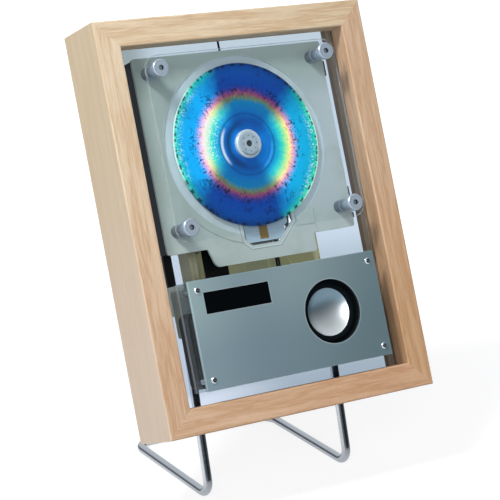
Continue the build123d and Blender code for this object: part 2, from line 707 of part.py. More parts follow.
# pickup sled on the guide rods, with a nut arm on the lead screw
NUT_WIDTH = 6.0
NUT_LENGTH = 5.0
NUT_FROM_TOP = 1.0
LENS_HEIGHT = 145.0
POCKET_DEPTH = 1.6
SLED_CORNER = 2.0
SADDLE_OPEN = 3.2
sled_middle = (SLED_LEFT + SLED_RIGHT) / 2
sled_top_edge = SLED_BOTTOM + SLED_LENGTH
sled_thickness = SLED_TOP_LEVEL - SLED_BASE_LEVEL
with BuildPart() as pickup_sled:
    with BuildSketch(level(SLED_BASE_LEVEL)):
        with Locations((sled_middle, SLED_BOTTOM + SLED_LENGTH / 2)):
            RectangleRounded(SLED_RIGHT - SLED_LEFT, SLED_LENGTH, SLED_CORNER)
        nut_low = sled_top_edge - NUT_FROM_TOP - NUT_LENGTH
        nut_right = SCREW_SIDE + NUT_WIDTH / 2
        with Locations((nut_right, nut_low)):
            Rectangle(nut_right - SLED_RIGHT + SLED_CORNER, NUT_LENGTH, align=(Align.MAX, Align.MIN))
    extrude(amount=sled_thickness)
    # top plate that reaches over the lead screw, cut back at its lower corner
    with BuildSketch(level(SLED_TOP_LEVEL)):
        Polygon(
            (SLED_RIGHT - SLED_CORNER, sled_top_edge),
            (SLED_RIGHT - SLED_CORNER, SLED_BOTTOM + SLED_PLATE_CHAMFER - SLED_PLATE_RIGHT + SLED_RIGHT),
            (SLED_PLATE_RIGHT, SLED_BOTTOM + SLED_PLATE_CHAMFER),
            (SLED_PLATE_RIGHT, sled_top_edge),
            align=None,
        )
    extrude(amount=-SLED_PLATE_THICKNESS)
    with BuildSketch(spot(0, LENS_HEIGHT, SLED_TOP_LEVEL)):
        Circle(LENS_HOLDER_RADIUS + LENS_GAP)
    extrude(amount=-POCKET_DEPTH, mode=Mode.SUBTRACT)
    with BuildSketch(upright(GUIDE_LEFT, SLED_BOTTOM, GUIDE_LEVEL)):
        Circle(GUIDE_RADIUS + RUNNING_FIT)
    extrude(amount=SLED_LENGTH, mode=Mode.SUBTRACT)
    # open saddle over the second rod
    with BuildSketch(upright(GUIDE_RIGHT, SLED_BOTTOM, GUIDE_LEVEL)):
        Circle(GUIDE_RADIUS + RUNNING_FIT)
        with Locations((0, SADDLE_OPEN)):
            Rectangle(2 * (GUIDE_RADIUS + RUNNING_FIT), 2 * SADDLE_OPEN)
    extrude(amount=SLED_LENGTH, mode=Mode.SUBTRACT)
    with BuildSketch(upright(SCREW_SIDE, SLED_BOTTOM, GUIDE_LEVEL)):
        Circle(SCREW_RADIUS + RUNNING_FIT)
    extrude(amount=SLED_LENGTH, mode=Mode.SUBTRACT)
pickup_sled.part.label = "pickup_sled"
export_step(pickup_sled.part, "parts/pickup_sled.step")

HOLDER_BASE = SLED_TOP_LEVEL - POCKET_DEPTH + LENS_GAP
HOLDER_HEIGHT = 3.1
with BuildPart() as lens_holder:
    with BuildSketch(spot(0, LENS_HEIGHT, HOLDER_BASE)):
        Circle(LENS_HOLDER_RADIUS)
    extrude(amount=HOLDER_HEIGHT)
    with BuildSketch(spot(0, LENS_HEIGHT, HOLDER_BASE)):
        Circle(LENS_RADIUS - 0.6)
    extrude(amount=HOLDER_HEIGHT, mode=Mode.SUBTRACT)
    with BuildSketch(spot(0, LENS_HEIGHT, HOLDER_BASE + HOLDER_HEIGHT)):
        Circle(LENS_RADIUS)
    extrude(amount=-1.0, mode=Mode.SUBTRACT)
lens_holder.part.label = "lens_holder"
export_step(lens_holder.part, "parts/lens_holder.step")

lens_rim = HOLDER_BASE + HOLDER_HEIGHT - 1.0
LENS_CROWN = 0.9
LENS_EDGE = 0.7
with BuildPart() as objective_lens:
    with BuildSketch(axial(0, LENS_HEIGHT)):
        with BuildLine():
            Polyline((0, lens_rim), (LENS_RADIUS, lens_rim), (LENS_RADIUS, lens_rim + LENS_EDGE))
            ThreePointArc(
                (LENS_RADIUS, lens_rim + LENS_EDGE),
                dome_point(LENS_RADIUS, LENS_CROWN, lens_rim + LENS_EDGE),
                (0, lens_rim + LENS_EDGE + LENS_CROWN),
            )
            Line((0, lens_rim + LENS_EDGE + LENS_CROWN), (0, lens_rim))
        make_face()
    revolve(axis=front_axis(0, LENS_HEIGHT))
objective_lens.part.label = "objective_lens"
export_step(objective_lens.part, "parts/objective_lens.step")

FLEX_LEFT = -1.0
FLEX_THICKNESS = 0.25
FLEX_LOW = 128.2
with BuildPart() as sled_flex:
    with BuildSketch(spot(FLEX_LEFT + FLEX_WIDTH / 2, FLEX_LOW, SLED_TOP_LEVEL)):
        flex_length = LENS_HEIGHT - LENS_HOLDER_RADIUS - LENS_GAP - FLEX_LOW
        with Locations((0, flex_length / 2)):
            Rectangle(FLEX_WIDTH, flex_length)
    extrude(amount=FLEX_THICKNESS)
sled_flex.part.label = "sled_flex"
export_step(sled_flex.part, "parts/sled_flex.step")

# ---------------------------------------------------------------- clear cover on posts
STUD_LENGTH = 9.0
BORE_DEPTH = 10.0
LOWER_STUD = 8.0
collar_top = DECK_LEVEL + COLLAR_HEIGHT
with BuildPart() as cover_posts:
    with BuildSketch(level(DECK_LEVEL)):
        with Locations(*post_spots):
            Circle(COLLAR_RADIUS)
    extrude(amount=COLLAR_HEIGHT)
    with BuildSketch(level(collar_top)):
        with Locations(*post_spots):
            Circle(BARREL_RADIUS - COLLAR_GROOVE)
    extrude(amount=COLLAR_GROOVE)
    with BuildSketch(level(collar_top + COLLAR_GROOVE)):
        with Locations(*post_spots):
            Circle(BARREL_RADIUS)
    extrude(amount=COVER_BACK_LEVEL - collar_top - COLLAR_GROOVE)
    with BuildSketch(level(DECK_LEVEL)):
        with Locations(*post_spots):
            Circle(STUD_RADIUS)
    extrude(amount=-LOWER_STUD)
    with BuildSketch(level(COVER_BACK_LEVEL)):
        with Locations(*post_spots):
            Circle(STUD_RADIUS + STUD_FIT)
    extrude(amount=-BORE_DEPTH, mode=Mode.SUBTRACT)
cover_posts.part.label = "cover_posts"
export_step(cover_posts.part, "parts/cover_posts.step")

with BuildPart() as clear_cover:
    with BuildSketch(level(COVER_BACK_LEVEL)):
        with Locations((0, (POST_LOW + POST_HIGH) / 2)):
            RectangleRounded(
                2 * (POST_SIDE + COVER_MARGIN), POST_HIGH - POST_LOW + 2 * COVER_MARGIN, COVER_MARGIN - 0.1
            )
        with Locations(*post_spots):
            Circle(STUD_RADIUS + 4 * STUD_FIT, mode=Mode.SUBTRACT)
    extrude(amount=COVER_THICKNESS)
clear_cover.part.label = "clear_cover"
export_step(clear_cover.part, "parts/clear_cover.step")

KNOB_EDGE = 0.6
HEX_DEPTH = 2.2
knob_names = ("top_left", "top_right", "bottom_left", "bottom_right")
knob_base = cover_front + KNOB_GAP
for knob_name, (x, y) in zip(knob_names, post_spots):
    with BuildPart() as cover_knob:
        with BuildSketch(spot(x, y, knob_base)):
            Circle(KNOB_RADIUS)
        extrude(amount=KNOB_HEIGHT)
        chamfer(cover_knob.edges().filter_by(GeomType.CIRCLE).sort_by(Axis(FACE.origin, FACE.z_dir))[-1],
                length=KNOB_EDGE)
        with BuildSketch(spot(x, y, knob_base + KNOB_HEIGHT)):
            RegularPolygon(HEX_ACROSS / 2, 6, major_radius=False)
        extrude(amount=-HEX_DEPTH, mode=Mode.SUBTRACT)
        with BuildSketch(spot(x, y, knob_base)):
            Circle(STUD_RADIUS)
        extrude(amount=-(STUD_LENGTH + COVER_THICKNESS))
    cover_knob.part.label = f"cover_knob_{knob_name}"
    export_step(cover_knob.part, f"parts/cover_knob_{knob_name}.step")

# ---------------------------------------------------------------- speaker and display module
plate_height = PLATE_TOP - PLATE_BOTTOM
plate_middle = (PLATE_TOP + PLATE_BOTTOM) / 2
window_width = WINDOW_RIGHT - WINDOW_LEFT
window_height = WINDOW_TOP - WINDOW_BOTTOM
window_centre = ((WINDOW_LEFT + WINDOW_RIGHT) / 2, (WINDOW_BOTTOM + WINDOW_TOP) / 2)
PLATE_EDGE = 0.4
PLATE_SCREW_RADIUS = 1.2
PLATE_SCREW_HEAD = 2.35
PLATE_SCREW_HEAD_HEIGHT = 1.1
PLATE_SCREW_LENGTH = 7.0
PILLAR_RADIUS = 2.5

with BuildPart() as faceplate:
    with BuildSketch(level(plate_back)):
        with Locations((0, plate_middle)):
            Rectangle(2 * PLATE_HALF_WIDTH, plate_height)
        with Locations(window_centre):
            Rectangle(window_width, window_height, mode=Mode.SUBTRACT)
        with Locations((SPEAKER_SIDE, SPEAKER_HEIGHT)):
            Circle(SPEAKER_HOLE, mode=Mode.SUBTRACT)
        with Locations(*plate_screw_spots):
            Circle(PLATE_SCREW_RADIUS + SCREW_FIT, mode=Mode.SUBTRACT)
    extrude(amount=PLATE_THICKNESS)
    front_rim = faceplate.faces().sort_by(Axis(FACE.origin, FACE.z_dir))[-1].outer_wire().edges()
    chamfer(front_rim, length=PLATE_EDGE)
faceplate.part.label = "faceplate"
export_step(faceplate.part, "parts/faceplate.step")

with BuildPart() as faceplate_screws:
    with BuildSketch(level(PLATE_LEVEL)):
        with Locations(*plate_screw_spots):
            Circle(PLATE_SCREW_HEAD)
    extrude(amount=PLATE_SCREW_HEAD_HEIGHT)
    chamfer(
        faceplate_screws.edges().group_by(Axis(FACE.origin, FACE.z_dir))[-1],
        length=PLATE_SCREW_HEAD_HEIGHT / 2,
    )
    with BuildSketch(level(PLATE_LEVEL)):
        with Locations(*plate_screw_spots):
            Circle(PLATE_SCREW_RADIUS)
    extrude(amount=-PLATE_SCREW_LENGTH)
faceplate_screws.part.label = "faceplate_screws"
export_step(faceplate_screws.part, "parts/faceplate_screws.step")

with BuildPart() as faceplate_pillars:
    with BuildSketch(level(CARRIER_LEVEL)):
        with Locations(*plate_screw_spots):
            Circle(PILLAR_RADIUS)
    extrude(amount=plate_back - CARRIER_LEVEL)
    with BuildSketch(level(plate_back)):
        with Locations(*plate_screw_spots):
            Circle(PLATE_SCREW_RADIUS + SCREW_FIT)
    extrude(amount=-PLATE_SCREW_LENGTH, mode=Mode.SUBTRACT)
faceplate_pillars.part.label = "faceplate_pillars"
export_step(faceplate_pillars.part, "parts/faceplate_pillars.step")

with BuildPart() as display_window:
    with BuildSketch(level(plate_back)):
        with Locations(window_centre):
            Rectangle(window_width - 2 * WINDOW_FIT, window_height - 2 * WINDOW_FIT)
    extrude(amount=PLATE_THICKNESS - WINDOW_RECESS)
display_window.part.label = "display_window"
export_step(display_window.part, "parts/display_window.step")

# display: glass block behind the window, on a board that stands on the box's posts
DISPLAY_INSET = 3.6
DISPLAY_DEPTH = 4.0
DISPLAY_BOARD = 1.6
display_board_level = plate_back - DISPLAY_DEPTH - DISPLAY_BOARD
with BuildPart() as display_module:
    with BuildSketch(level(plate_back - DISPLAY_DEPTH)):
        with Locations(window_centre):
            Rectangle(window_width - 2 * DISPLAY_INSET, window_height - DISPLAY_INSET)
    extrude(amount=DISPLAY_DEPTH)
    with BuildSketch(level(display_board_level)):
        with Locations(window_centre):
            Rectangle(window_width - 2 * DISPLAY_INSET, window_height)
    extrude(amount=DISPLAY_BOARD)
display_module.part.label = "display_module"
export_step(display_module.part, "parts/display_module.step")

# front box: open towards the faceplate, with a hole for the speaker in its floor
BASKET_SHOULDER = 19.4
BASKET_THROAT = 14.6
BASKET_FLANGE = 27.4
BASKET_FLANGE_THICKNESS = 2.0
BASKET_REAR_LEVEL = -16.4
BASKET_WALL = 1.4
DISPLAY_POST = 3.0
box_height = BOX_TOP - BOX_BOTTOM
box_centre = (0, (BOX_TOP + BOX_BOTTOM) / 2)
display_posts = [
    (window_centre[0] + side * (window_width / 2 - 2 * DISPLAY_INSET), window_centre[1] + high)
    for side in (-1, 1)
    for high in (-window_height / 4, window_height / 4)
]
with BuildPart() as front_box:
    with BuildSketch(level(CARRIER_LEVEL)):
        with Locations(box_centre):
            RectangleRounded(2 * box_half_width, box_height, BOX_CORNER)
    extrude(amount=plate_back - CARRIER_LEVEL)
    with BuildSketch(level(CARRIER_LEVEL + BOX_WALL)):
        with Locations(box_centre):
            RectangleRounded(
                2 * (box_half_width - BOX_WALL), box_height - 2 * BOX_WALL, BOX_CORNER - BOX_WALL
            )
    extrude(amount=plate_back - CARRIER_LEVEL, mode=Mode.SUBTRACT)
    with BuildSketch(level(CARRIER_LEVEL)):
        with Locations(*display_posts):
            Circle(DISPLAY_POST / 2)
    extrude(amount=display_board_level - CARRIER_LEVEL)
    with BuildSketch(level(CARRIER_LEVEL)):
        with Locations((SPEAKER_SIDE, SPEAKER_HEIGHT)):
            Circle(BASKET_SHOULDER + WINDOW_FIT)
    extrude(amount=BOX_WALL, mode=Mode.SUBTRACT)
    with BuildSketch(level(plate_back)):
        with Locations((SPEAKER_SIDE, SPEAKER_HEIGHT)):
            Circle(BASKET_FLANGE + WINDOW_FIT)
    extrude(amount=-BASKET_FLANGE_THICKNESS - BASKET_WALL, mode=Mode.SUBTRACT)
front_box.part.label = "front_box"
export_step(front_box.part, "parts/front_box.step")

# speaker: pressed basket, magnet, rubber surround and dished metal cone
CONE_WALL = 0.6
SURROUND_GAP = 0.3
SURROUND_WIDTH = 4.6
SURROUND_RISE = 1.6
SURROUND_THICKNESS = 0.8
COIL_RADIUS = 8.0
COIL_WALL = 0.6
basket_seat = CONE_LEVEL - SURROUND_THICKNESS
with BuildPart() as speaker_basket:
    with BuildSketch(axial(SPEAKER_SIDE, SPEAKER_HEIGHT)):
        with BuildLine():
            Polyline(
                (BASKET_FLANGE, plate_back),
                (BASKET_FLANGE, plate_back - BASKET_FLANGE_THICKNESS),
                (BASKET_FLANGE - BASKET_FLANGE_THICKNESS, basket_seat - BASKET_WALL),
                (BASKET_SHOULDER, basket_seat - BASKET_WALL),
                (BASKET_THROAT, CARRIER_LEVEL),
                (BASKET_THROAT, BASKET_REAR_LEVEL),
                (COIL_RADIUS + COIL_WALL + SURROUND_GAP, BASKET_REAR_LEVEL),
                (COIL_RADIUS + COIL_WALL + SURROUND_GAP, BASKET_REAR_LEVEL + BASKET_WALL),
                (BASKET_THROAT - BASKET_WALL, BASKET_REAR_LEVEL + BASKET_WALL),
                (BASKET_THROAT - BASKET_WALL, CARRIER_LEVEL),
                (BASKET_SHOULDER - BASKET_WALL, basket_seat),
                (SPEAKER_HOLE - SURROUND_GAP, basket_seat),
                (SPEAKER_HOLE, plate_back),
                close=True,
            )
        make_face()
    revolve(axis=front_axis(SPEAKER_SIDE, SPEAKER_HEIGHT))
speaker_basket.part.label = "speaker_basket"
export_step(speaker_basket.part, "parts/speaker_basket.step")

MAGNET_DEPTH = 9.6
POLE_RADIUS = COIL_RADIUS - SURROUND_GAP
GAP_OUTER = COIL_RADIUS + COIL_WALL + SURROUND_GAP
COIL_GROOVE = 4.0
magnet_back = BASKET_REAR_LEVEL - MAGNET_DEPTH
with BuildPart() as speaker_magnet:
    with BuildSketch(axial(SPEAKER_SIDE, SPEAKER_HEIGHT)):
        with BuildLine():
            Polyline(
                (0, magnet_back),
                (MAGNET_RADIUS, magnet_back),
                (MAGNET_RADIUS, BASKET_REAR_LEVEL),
                (GAP_OUTER, BASKET_REAR_LEVEL),
                (GAP_OUTER, BASKET_REAR_LEVEL - COIL_GROOVE),
                (POLE_RADIUS, BASKET_REAR_LEVEL - COIL_GROOVE),
                (POLE_RADIUS, BASKET_REAR_LEVEL),
                (0, BASKET_REAR_LEVEL),
                close=True,
            )
        make_face()
    revolve(axis=front_axis(SPEAKER_SIDE, SPEAKER_HEIGHT))
speaker_magnet.part.label = "speaker_magnet"
export_step(speaker_magnet.part, "parts/speaker_magnet.step")

surround_inner = CONE_RADIUS + SURROUND_GAP
surround_outer = surround_inner + SURROUND_WIDTH
roll_middle = (surround_inner + surround_outer) / 2
with BuildPart() as speaker_surround:
    with BuildSketch(axial(SPEAKER_SIDE, SPEAKER_HEIGHT)):
        with BuildLine():
            Polyline(
                (surround_inner, CONE_LEVEL),
                (roll_middle, CONE_LEVEL + SURROUND_RISE),
                (surround_outer, CONE_LEVEL),
                (SPEAKER_HOLE - SURROUND_GAP, CONE_LEVEL),
                (SPEAKER_HOLE - SURROUND_GAP, basket_seat),
                (surround_inner, basket_seat),
                close=True,
            )
        make_face()
    revolve(axis=front_axis(SPEAKER_SIDE, SPEAKER_HEIGHT))
speaker_surround.part.label = "speaker_surround"
export_step(speaker_surround.part, "parts/speaker_surround.step")

dish = [
    (CONE_RADIUS, CONE_LEVEL),
    (dome_point(CONE_RADIUS, CONE_DEPTH, 0)[0], CONE_LEVEL - dome_point(CONE_RADIUS, CONE_DEPTH, 0)[1]),
    (0, CONE_LEVEL - CONE_DEPTH),
]
coil_back = BASKET_REAR_LEVEL - COIL_GROOVE / 2
with BuildPart() as speaker_cone:
    with BuildSketch(axial(SPEAKER_SIDE, SPEAKER_HEIGHT)):
        with BuildLine():
            Polyline(*dish, *[(radius, height - CONE_WALL) for radius, height in reversed(dish)], close=True)
        make_face()
    revolve(axis=front_axis(SPEAKER_SIDE, SPEAKER_HEIGHT))
    with BuildSketch(spot(SPEAKER_SIDE, SPEAKER_HEIGHT, coil_back)):
        Circle(COIL_RADIUS + COIL_WALL)
        Circle(COIL_RADIUS, mode=Mode.SUBTRACT)
    extrude(until=Until.NEXT)
speaker_cone.part.label = "speaker_cone"
export_step(speaker_cone.part, "parts/speaker_cone.step")

# clear carrier plate that the module is built on
with BuildPart() as carrier_plate:
    with BuildSketch(level(carrier_back)):
        with Locations((0, plate_middle)):
            Rectangle(2 * PLATE_HALF_WIDTH, plate_height)
        with Locations((SPEAKER_SIDE, SPEAKER_HEIGHT)):
            Circle(BASKET_THROAT + WINDOW_FIT, mode=Mode.SUBTRACT)
    extrude(amount=CARRIER_THICKNESS)
carrier_plate.part.label = "carrier_plate"
export_step(carrier_plate.part, "parts/carrier_plate.step")

# black rear box round the magnet, between the carrier plate and the back panel
rear_box_centre = (0, (REAR_BOX_TOP + REAR_BOX_BOTTOM) / 2)
rear_box_height = REAR_BOX_TOP - REAR_BOX_BOTTOM
with BuildPart() as rear_box:
    with BuildSketch(level(REBATE_LEVEL)):
        with Locations(rear_box_centre):
            RectangleRounded(2 * rear_box_half_width, rear_box_height, BOX_CORNER)
    extrude(amount=carrier_back - REBATE_LEVEL)
    with BuildSketch(level(REBATE_LEVEL + BOX_WALL)):
        with Locations(rear_box_centre):
            RectangleRounded(
                2 * (rear_box_half_width - BOX_WALL), rear_box_height - 2 * BOX_WALL, BOX_CORNER - BOX_WALL
            )
    extrude(amount=carrier_back - REBATE_LEVEL, mode=Mode.SUBTRACT)
    with BuildSketch(level(REBATE_LEVEL)):
        with Locations(*long_screw_spots[2:]):
            Circle(SCREW_POST_RADIUS)
    extrude(amount=carrier_back - REBATE_LEVEL)
    with BuildSketch(level(REBATE_LEVEL)):
        with Locations(*long_screw_spots[2:]):
            Circle(LONG_SCREW_RADIUS + SCREW_FIT)
        with Locations((0, CABLE_SLOT_LOW)):
            SlotOverall(CABLE_SLOT_WIDTH, CABLE_SLOT_HEIGHT)
    extrude(amount=HOUSING_FLOOR + GROMMET_HEIGHT, mode=Mode.SUBTRACT)
rear_box.part.label = "rear_box"
export_step(rear_box.part, "parts/rear_box.step")

# smoky cover over the wiring, above the rear box
with BuildPart() as wiring_cover:
    with BuildSketch(level(REBATE_LEVEL)):
        with Locations((0, (REAR_BOX_TOP + WIRING_TOP) / 2)):
            Rectangle(2 * PLATE_HALF_WIDTH - 1, WIRING_TOP - REAR_BOX_TOP)
    extrude(amount=carrier_back - REBATE_LEVEL)
    with BuildSketch(level(REBATE_LEVEL)):
        with Locations((0, (REAR_BOX_TOP + WIRING_TOP) / 2)):
            Rectangle(
                2 * PLATE_HALF_WIDTH - 1 - 2 * BOX_WALL, WIRING_TOP - REAR_BOX_TOP - 2 * BOX_WALL
            )
    extrude(amount=carrier_back - REBATE_LEVEL - BOX_WALL, mode=Mode.SUBTRACT)
wiring_cover.part.label = "wiring_cover"
export_step(wiring_cover.part, "parts/wiring_cover.step")

# strip that ties the two modules together down the left side
BRACKET_INSET = 1.5         # from the drive's left edge
BRACKET_WIDTH = 6.6
BRACKET_THICKNESS = 2.4
housing_bottom = DECK_BOTTOM + HOUSING_INSET
with BuildPart() as side_bracket:
    with BuildSketch(level(REBATE_LEVEL)):
        with Locations((-DECK_HALF_WIDTH + BRACKET_INSET, (WIRING_TOP + housing_bottom) / 2)):
            Rectangle(BRACKET_WIDTH, housing_bottom - WIRING_TOP, align=(Align.MIN, Align.CENTER))
    extrude(amount=BRACKET_THICKNESS)
side_bracket.part.label = "side_bracket"
export_step(side_bracket.part, "parts/side_bracket.step")

# flat ribbon and round lead between the drive and the module
RIBBON_LEFT = -46.6
RIBBON_RIGHT = -27.0
RIBBON_THICKNESS = 0.8
RIBBON_LEVEL = -27.6
LEAD_SIDE = 15.0
LEAD_RADIUS = 1.7
with BuildPart() as ribbon_cable:
    with BuildSketch(level(RIBBON_LEVEL)):
        with Locations(((RIBBON_LEFT + RIBBON_RIGHT) / 2, (WIRING_TOP + housing_bottom) / 2)):
            Rectangle(RIBBON_RIGHT - RIBBON_LEFT, housing_bottom - WIRING_TOP)
    extrude(amount=RIBBON_THICKNESS)
ribbon_cable.part.label = "ribbon_cable"
export_step(ribbon_cable.part, "parts/ribbon_cable.step")

with BuildPart() as power_lead:
    with BuildSketch(upright(LEAD_SIDE, WIRING_TOP, REBATE_LEVEL + LEAD_RADIUS + ROD_GAP)):
        Circle(LEAD_RADIUS)
    extrude(amount=TAB_BOTTOM + HOUSING_INSET - WIRING_TOP)
power_lead.part.label = "power_lead"
export_step(power_lead.part, "parts/power_lead.step")

# ---------------------------------------------------------------- electronics housing at the back
back_centre = (0, (BACK_TOP + BACK_BOTTOM) / 2)
back_height = BACK_TOP - BACK_BOTTOM
BACK_CORNER = 4.0
USB_SIDE = -22.0
USB_WIDTH = 9.2
USB_HEIGHT = 3.4
USB_LENGTH = 7.4
JACK_SIDE = 38.0
JACK_RADIUS = 3.0
JACK_BODY = 7.0
JACK_BORE = 1.8
JACK_LENGTH = 12.0
port_level = (panel_back + back_open) / 2
with BuildPart() as rear_housing:
    with BuildSketch(level(back_open)):
        with Locations(back_centre):
            RectangleRounded(2 * BACK_HALF_WIDTH, back_height, BACK_CORNER)
    extrude(amount=BACK_DEPTH)
    with BuildSketch(level(back_open)):
        with Locations(back_centre):
            RectangleRounded(
                2 * (BACK_HALF_WIDTH - BACK_WALL), back_height - 2 * BACK_WALL, BACK_CORNER - BACK_WALL
            )
        with Locations(*long_screw_spots):
            Circle(SCREW_POST_RADIUS, mode=Mode.SUBTRACT)
    extrude(amount=BACK_DEPTH - BACK_WALL, mode=Mode.SUBTRACT)
    with BuildSketch(level(back_open)):
        with Locations(*long_screw_spots):
            Circle(LONG_SCREW_RADIUS + SCREW_FIT)
    extrude(amount=BACK_DEPTH, mode=Mode.SUBTRACT)
    with BuildSketch(level(panel_back)):
        with Locations((0, CABLE_SLOT_LOW), (0, CABLE_SLOT_HIGH)):
            SlotOverall(CABLE_SLOT_WIDTH, CABLE_SLOT_HEIGHT)
    extrude(amount=-BACK_WALL, mode=Mode.SUBTRACT)
    with BuildSketch(upright(USB_SIDE, BACK_BOTTOM, port_level)):
        RectangleRounded(USB_WIDTH + 2 * SCREW_FIT, USB_HEIGHT + 2 * SCREW_FIT, USB_HEIGHT / 2)
    extrude(amount=BACK_WALL, mode=Mode.SUBTRACT)
rear_housing.part.label = "rear_housing"
export_step(rear_housing.part, "parts/rear_housing.step")

# lid with keyholes, vents, button holes, the jack's hole and the switch slot
button_spots = [
    ((number - (BUTTON_COUNT - 1) / 2) * BUTTON_PITCH, BUTTON_HEIGHT) for number in range(BUTTON_COUNT)
]
SWITCH_SIDE = -40.0
SWITCH_WIDTH = 4.0
SWITCH_KNOB_LENGTH = 5.0
switch_slot_length = SWITCH_KNOB_LENGTH + SWITCH_TRAVEL + 2 * BUTTON_FIT
VENT_ROWS = 5
VENT_PITCH = 7.0
VENT_LENGTH = 56.0
VENT_WIDTH = 2.4
VENT_HEIGHT = 118.0
with BuildPart() as rear_lid:
    with BuildSketch(level(lid_level)):
        with Locations(back_centre):
            RectangleRounded(2 * BACK_HALF_WIDTH, back_height, BACK_CORNER)
        with Locations(*long_screw_spots):
            Circle(LONG_SCREW_RADIUS + SCREW_FIT, mode=Mode.SUBTRACT)
        for side in (-1, 1):
            with Locations((side * KEYHOLE_SIDE, KEYHOLE_HEIGHT)):
                Circle(KEYHOLE_RADIUS, mode=Mode.SUBTRACT)
            with Locations((side * KEYHOLE_SIDE, KEYHOLE_HEIGHT + KEYHOLE_RISE / 2)):
                SlotCenterToCenter(KEYHOLE_RISE, KEYHOLE_SLOT, rotation=90, mode=Mode.SUBTRACT)
        with Locations(*button_spots):
            Circle(BUTTON_RADIUS + BUTTON_FIT, mode=Mode.SUBTRACT)
        with Locations((JACK_SIDE, BUTTON_HEIGHT)):
            Circle(JACK_RADIUS + SCREW_FIT, mode=Mode.SUBTRACT)
        with Locations((SWITCH_SIDE, BUTTON_HEIGHT)):
            Rectangle(SWITCH_WIDTH + 2 * BUTTON_FIT, switch_slot_length, mode=Mode.SUBTRACT)
        with Locations((0, VENT_HEIGHT)):
            with GridLocations(0, VENT_PITCH, 1, VENT_ROWS):
                SlotOverall(VENT_LENGTH, VENT_WIDTH, mode=Mode.SUBTRACT)
    extrude(amount=LID_THICKNESS)
rear_lid.part.label = "rear_lid"
export_step(rear_lid.part, "parts/rear_lid.step")

LONG_SCREW_HEAD = 2.9
LONG_SCREW_HEAD_HEIGHT = 1.6
long_screw_end = floor_level + GROMMET_HEIGHT - 0.2
with BuildPart() as housing_screws:
    with BuildSketch(level(lid_level)):
        with Locations(*long_screw_spots):
            Circle(LONG_SCREW_HEAD)
    extrude(amount=-LONG_SCREW_HEAD_HEIGHT)
    with BuildSketch(level(lid_level)):
        with Locations(*long_screw_spots):
            Circle(LONG_SCREW_RADIUS)
    extrude(amount=long_screw_end - lid_level)
housing_screws.part.label = "housing_screws"
export_step(housing_screws.part, "parts/housing_screws.step")

# main board on the housing's front wall posts, with chips and tact switches
BOARD_HALF_WIDTH = 50.0
BOARD_BOTTOM = 55.5
BOARD_TOP = 132.0
BOARD_THICKNESS = 1.6
BOARD_STAND = 3.4
TACT_SIZE = 6.0
BOARD_POST_INSET = 4.0
BOARD_POST_RADIUS = 2.4
CHIP_SIZE = 12.0
CHIP_HEIGHT = 1.4
chip_spots = [(-12.0, 108.0), (20.0, 104.0), (40.0, 112.0)]
SWITCH_BODY_MARGIN = 1.0
SWITCH_BODY_HEIGHT = 2.4
button_flange_level = back_open + 0.7
tact_tip = button_flange_level + BUTTON_TRAVEL + 0.3
board_back = panel_back - BACK_WALL - BOARD_STAND - BOARD_THICKNESS
with BuildPart() as main_board:
    with BuildSketch(level(board_back)):
        with Locations((0, (BOARD_BOTTOM + BOARD_TOP) / 2)):
            Rectangle(2 * BOARD_HALF_WIDTH, BOARD_TOP - BOARD_BOTTOM)
    extrude(amount=BOARD_THICKNESS)
    with BuildSketch(level(board_back + BOARD_THICKNESS)):
        with Locations((0, (BOARD_BOTTOM + BOARD_TOP) / 2)):
            post_columns = 2 * (BOARD_HALF_WIDTH - BOARD_POST_INSET)
            with GridLocations(post_columns, BOARD_TOP - BOARD_BOTTOM - 2 * BOARD_POST_INSET, 2, 2):
                Circle(BOARD_POST_RADIUS)
    extrude(amount=BOARD_STAND)
    with BuildSketch(level(board_back)):
        with Locations(*chip_spots):
            Rectangle(CHIP_SIZE, CHIP_SIZE)
    extrude(amount=-CHIP_HEIGHT)
    with BuildSketch(level(board_back)):
        with Locations(*button_spots):
            Rectangle(TACT_SIZE, TACT_SIZE)
    extrude(amount=tact_tip - board_back)
    with BuildSketch(level(board_back)):
        with Locations((SWITCH_SIDE, BUTTON_HEIGHT)):
            Rectangle(SWITCH_WIDTH + 2 * SWITCH_BODY_MARGIN, switch_slot_length + 2 * SWITCH_BODY_MARGIN)
    extrude(amount=back_open - board_back + SWITCH_BODY_HEIGHT)
    with BuildSketch(level(board_back)):
        with Locations((JACK_SIDE, BUTTON_HEIGHT)):
            Rectangle(JACK_BODY + 2 * BUTTON_FIT, JACK_BODY + 2 * BUTTON_FIT)
    extrude(amount=BOARD_THICKNESS, mode=Mode.SUBTRACT)
main_board.part.label = "main_board"
export_step(main_board.part, "parts/main_board.step")

BATTERY_WIDTH = 46.0
BATTERY_LENGTH = 64.0
BATTERY_THICKNESS = 8.0
BATTERY_CORNER = 3.0
BATTERY_HEIGHT = 198.0
with BuildPart() as battery_pack:
    with BuildSketch(level(panel_back - BACK_WALL)):
        with Locations((0, BATTERY_HEIGHT)):
            RectangleRounded(BATTERY_WIDTH, BATTERY_LENGTH, BATTERY_CORNER)
    extrude(amount=-BATTERY_THICKNESS)
battery_pack.part.label = "battery_pack"
export_step(battery_pack.part, "parts/battery_pack.step")

BUTTON_FLANGE = 0.5
BUTTON_EDGE = 0.3
button_names = ("previous", "play", "next", "mode")
for button_name, (x, y) in zip(button_names, button_spots):
    with BuildPart() as button:
        with BuildSketch(spot(x, y, lid_level - BUTTON_PROUD)):
            Circle(BUTTON_RADIUS)
        extrude(amount=BUTTON_PROUD + LID_THICKNESS + 0.2)
        rims = button.edges().filter_by(GeomType.CIRCLE)
        chamfer(rims.sort_by(Axis(FACE.origin, FACE.z_dir))[0], length=BUTTON_EDGE)
        with BuildSketch(spot(x, y, back_open + 0.2)):
            Circle(BUTTON_RADIUS + 0.8)
        extrude(amount=BUTTON_FLANGE)
    button.part.label = f"button_{button_name}"
    export_step(button.part, f"parts/button_{button_name}.step")

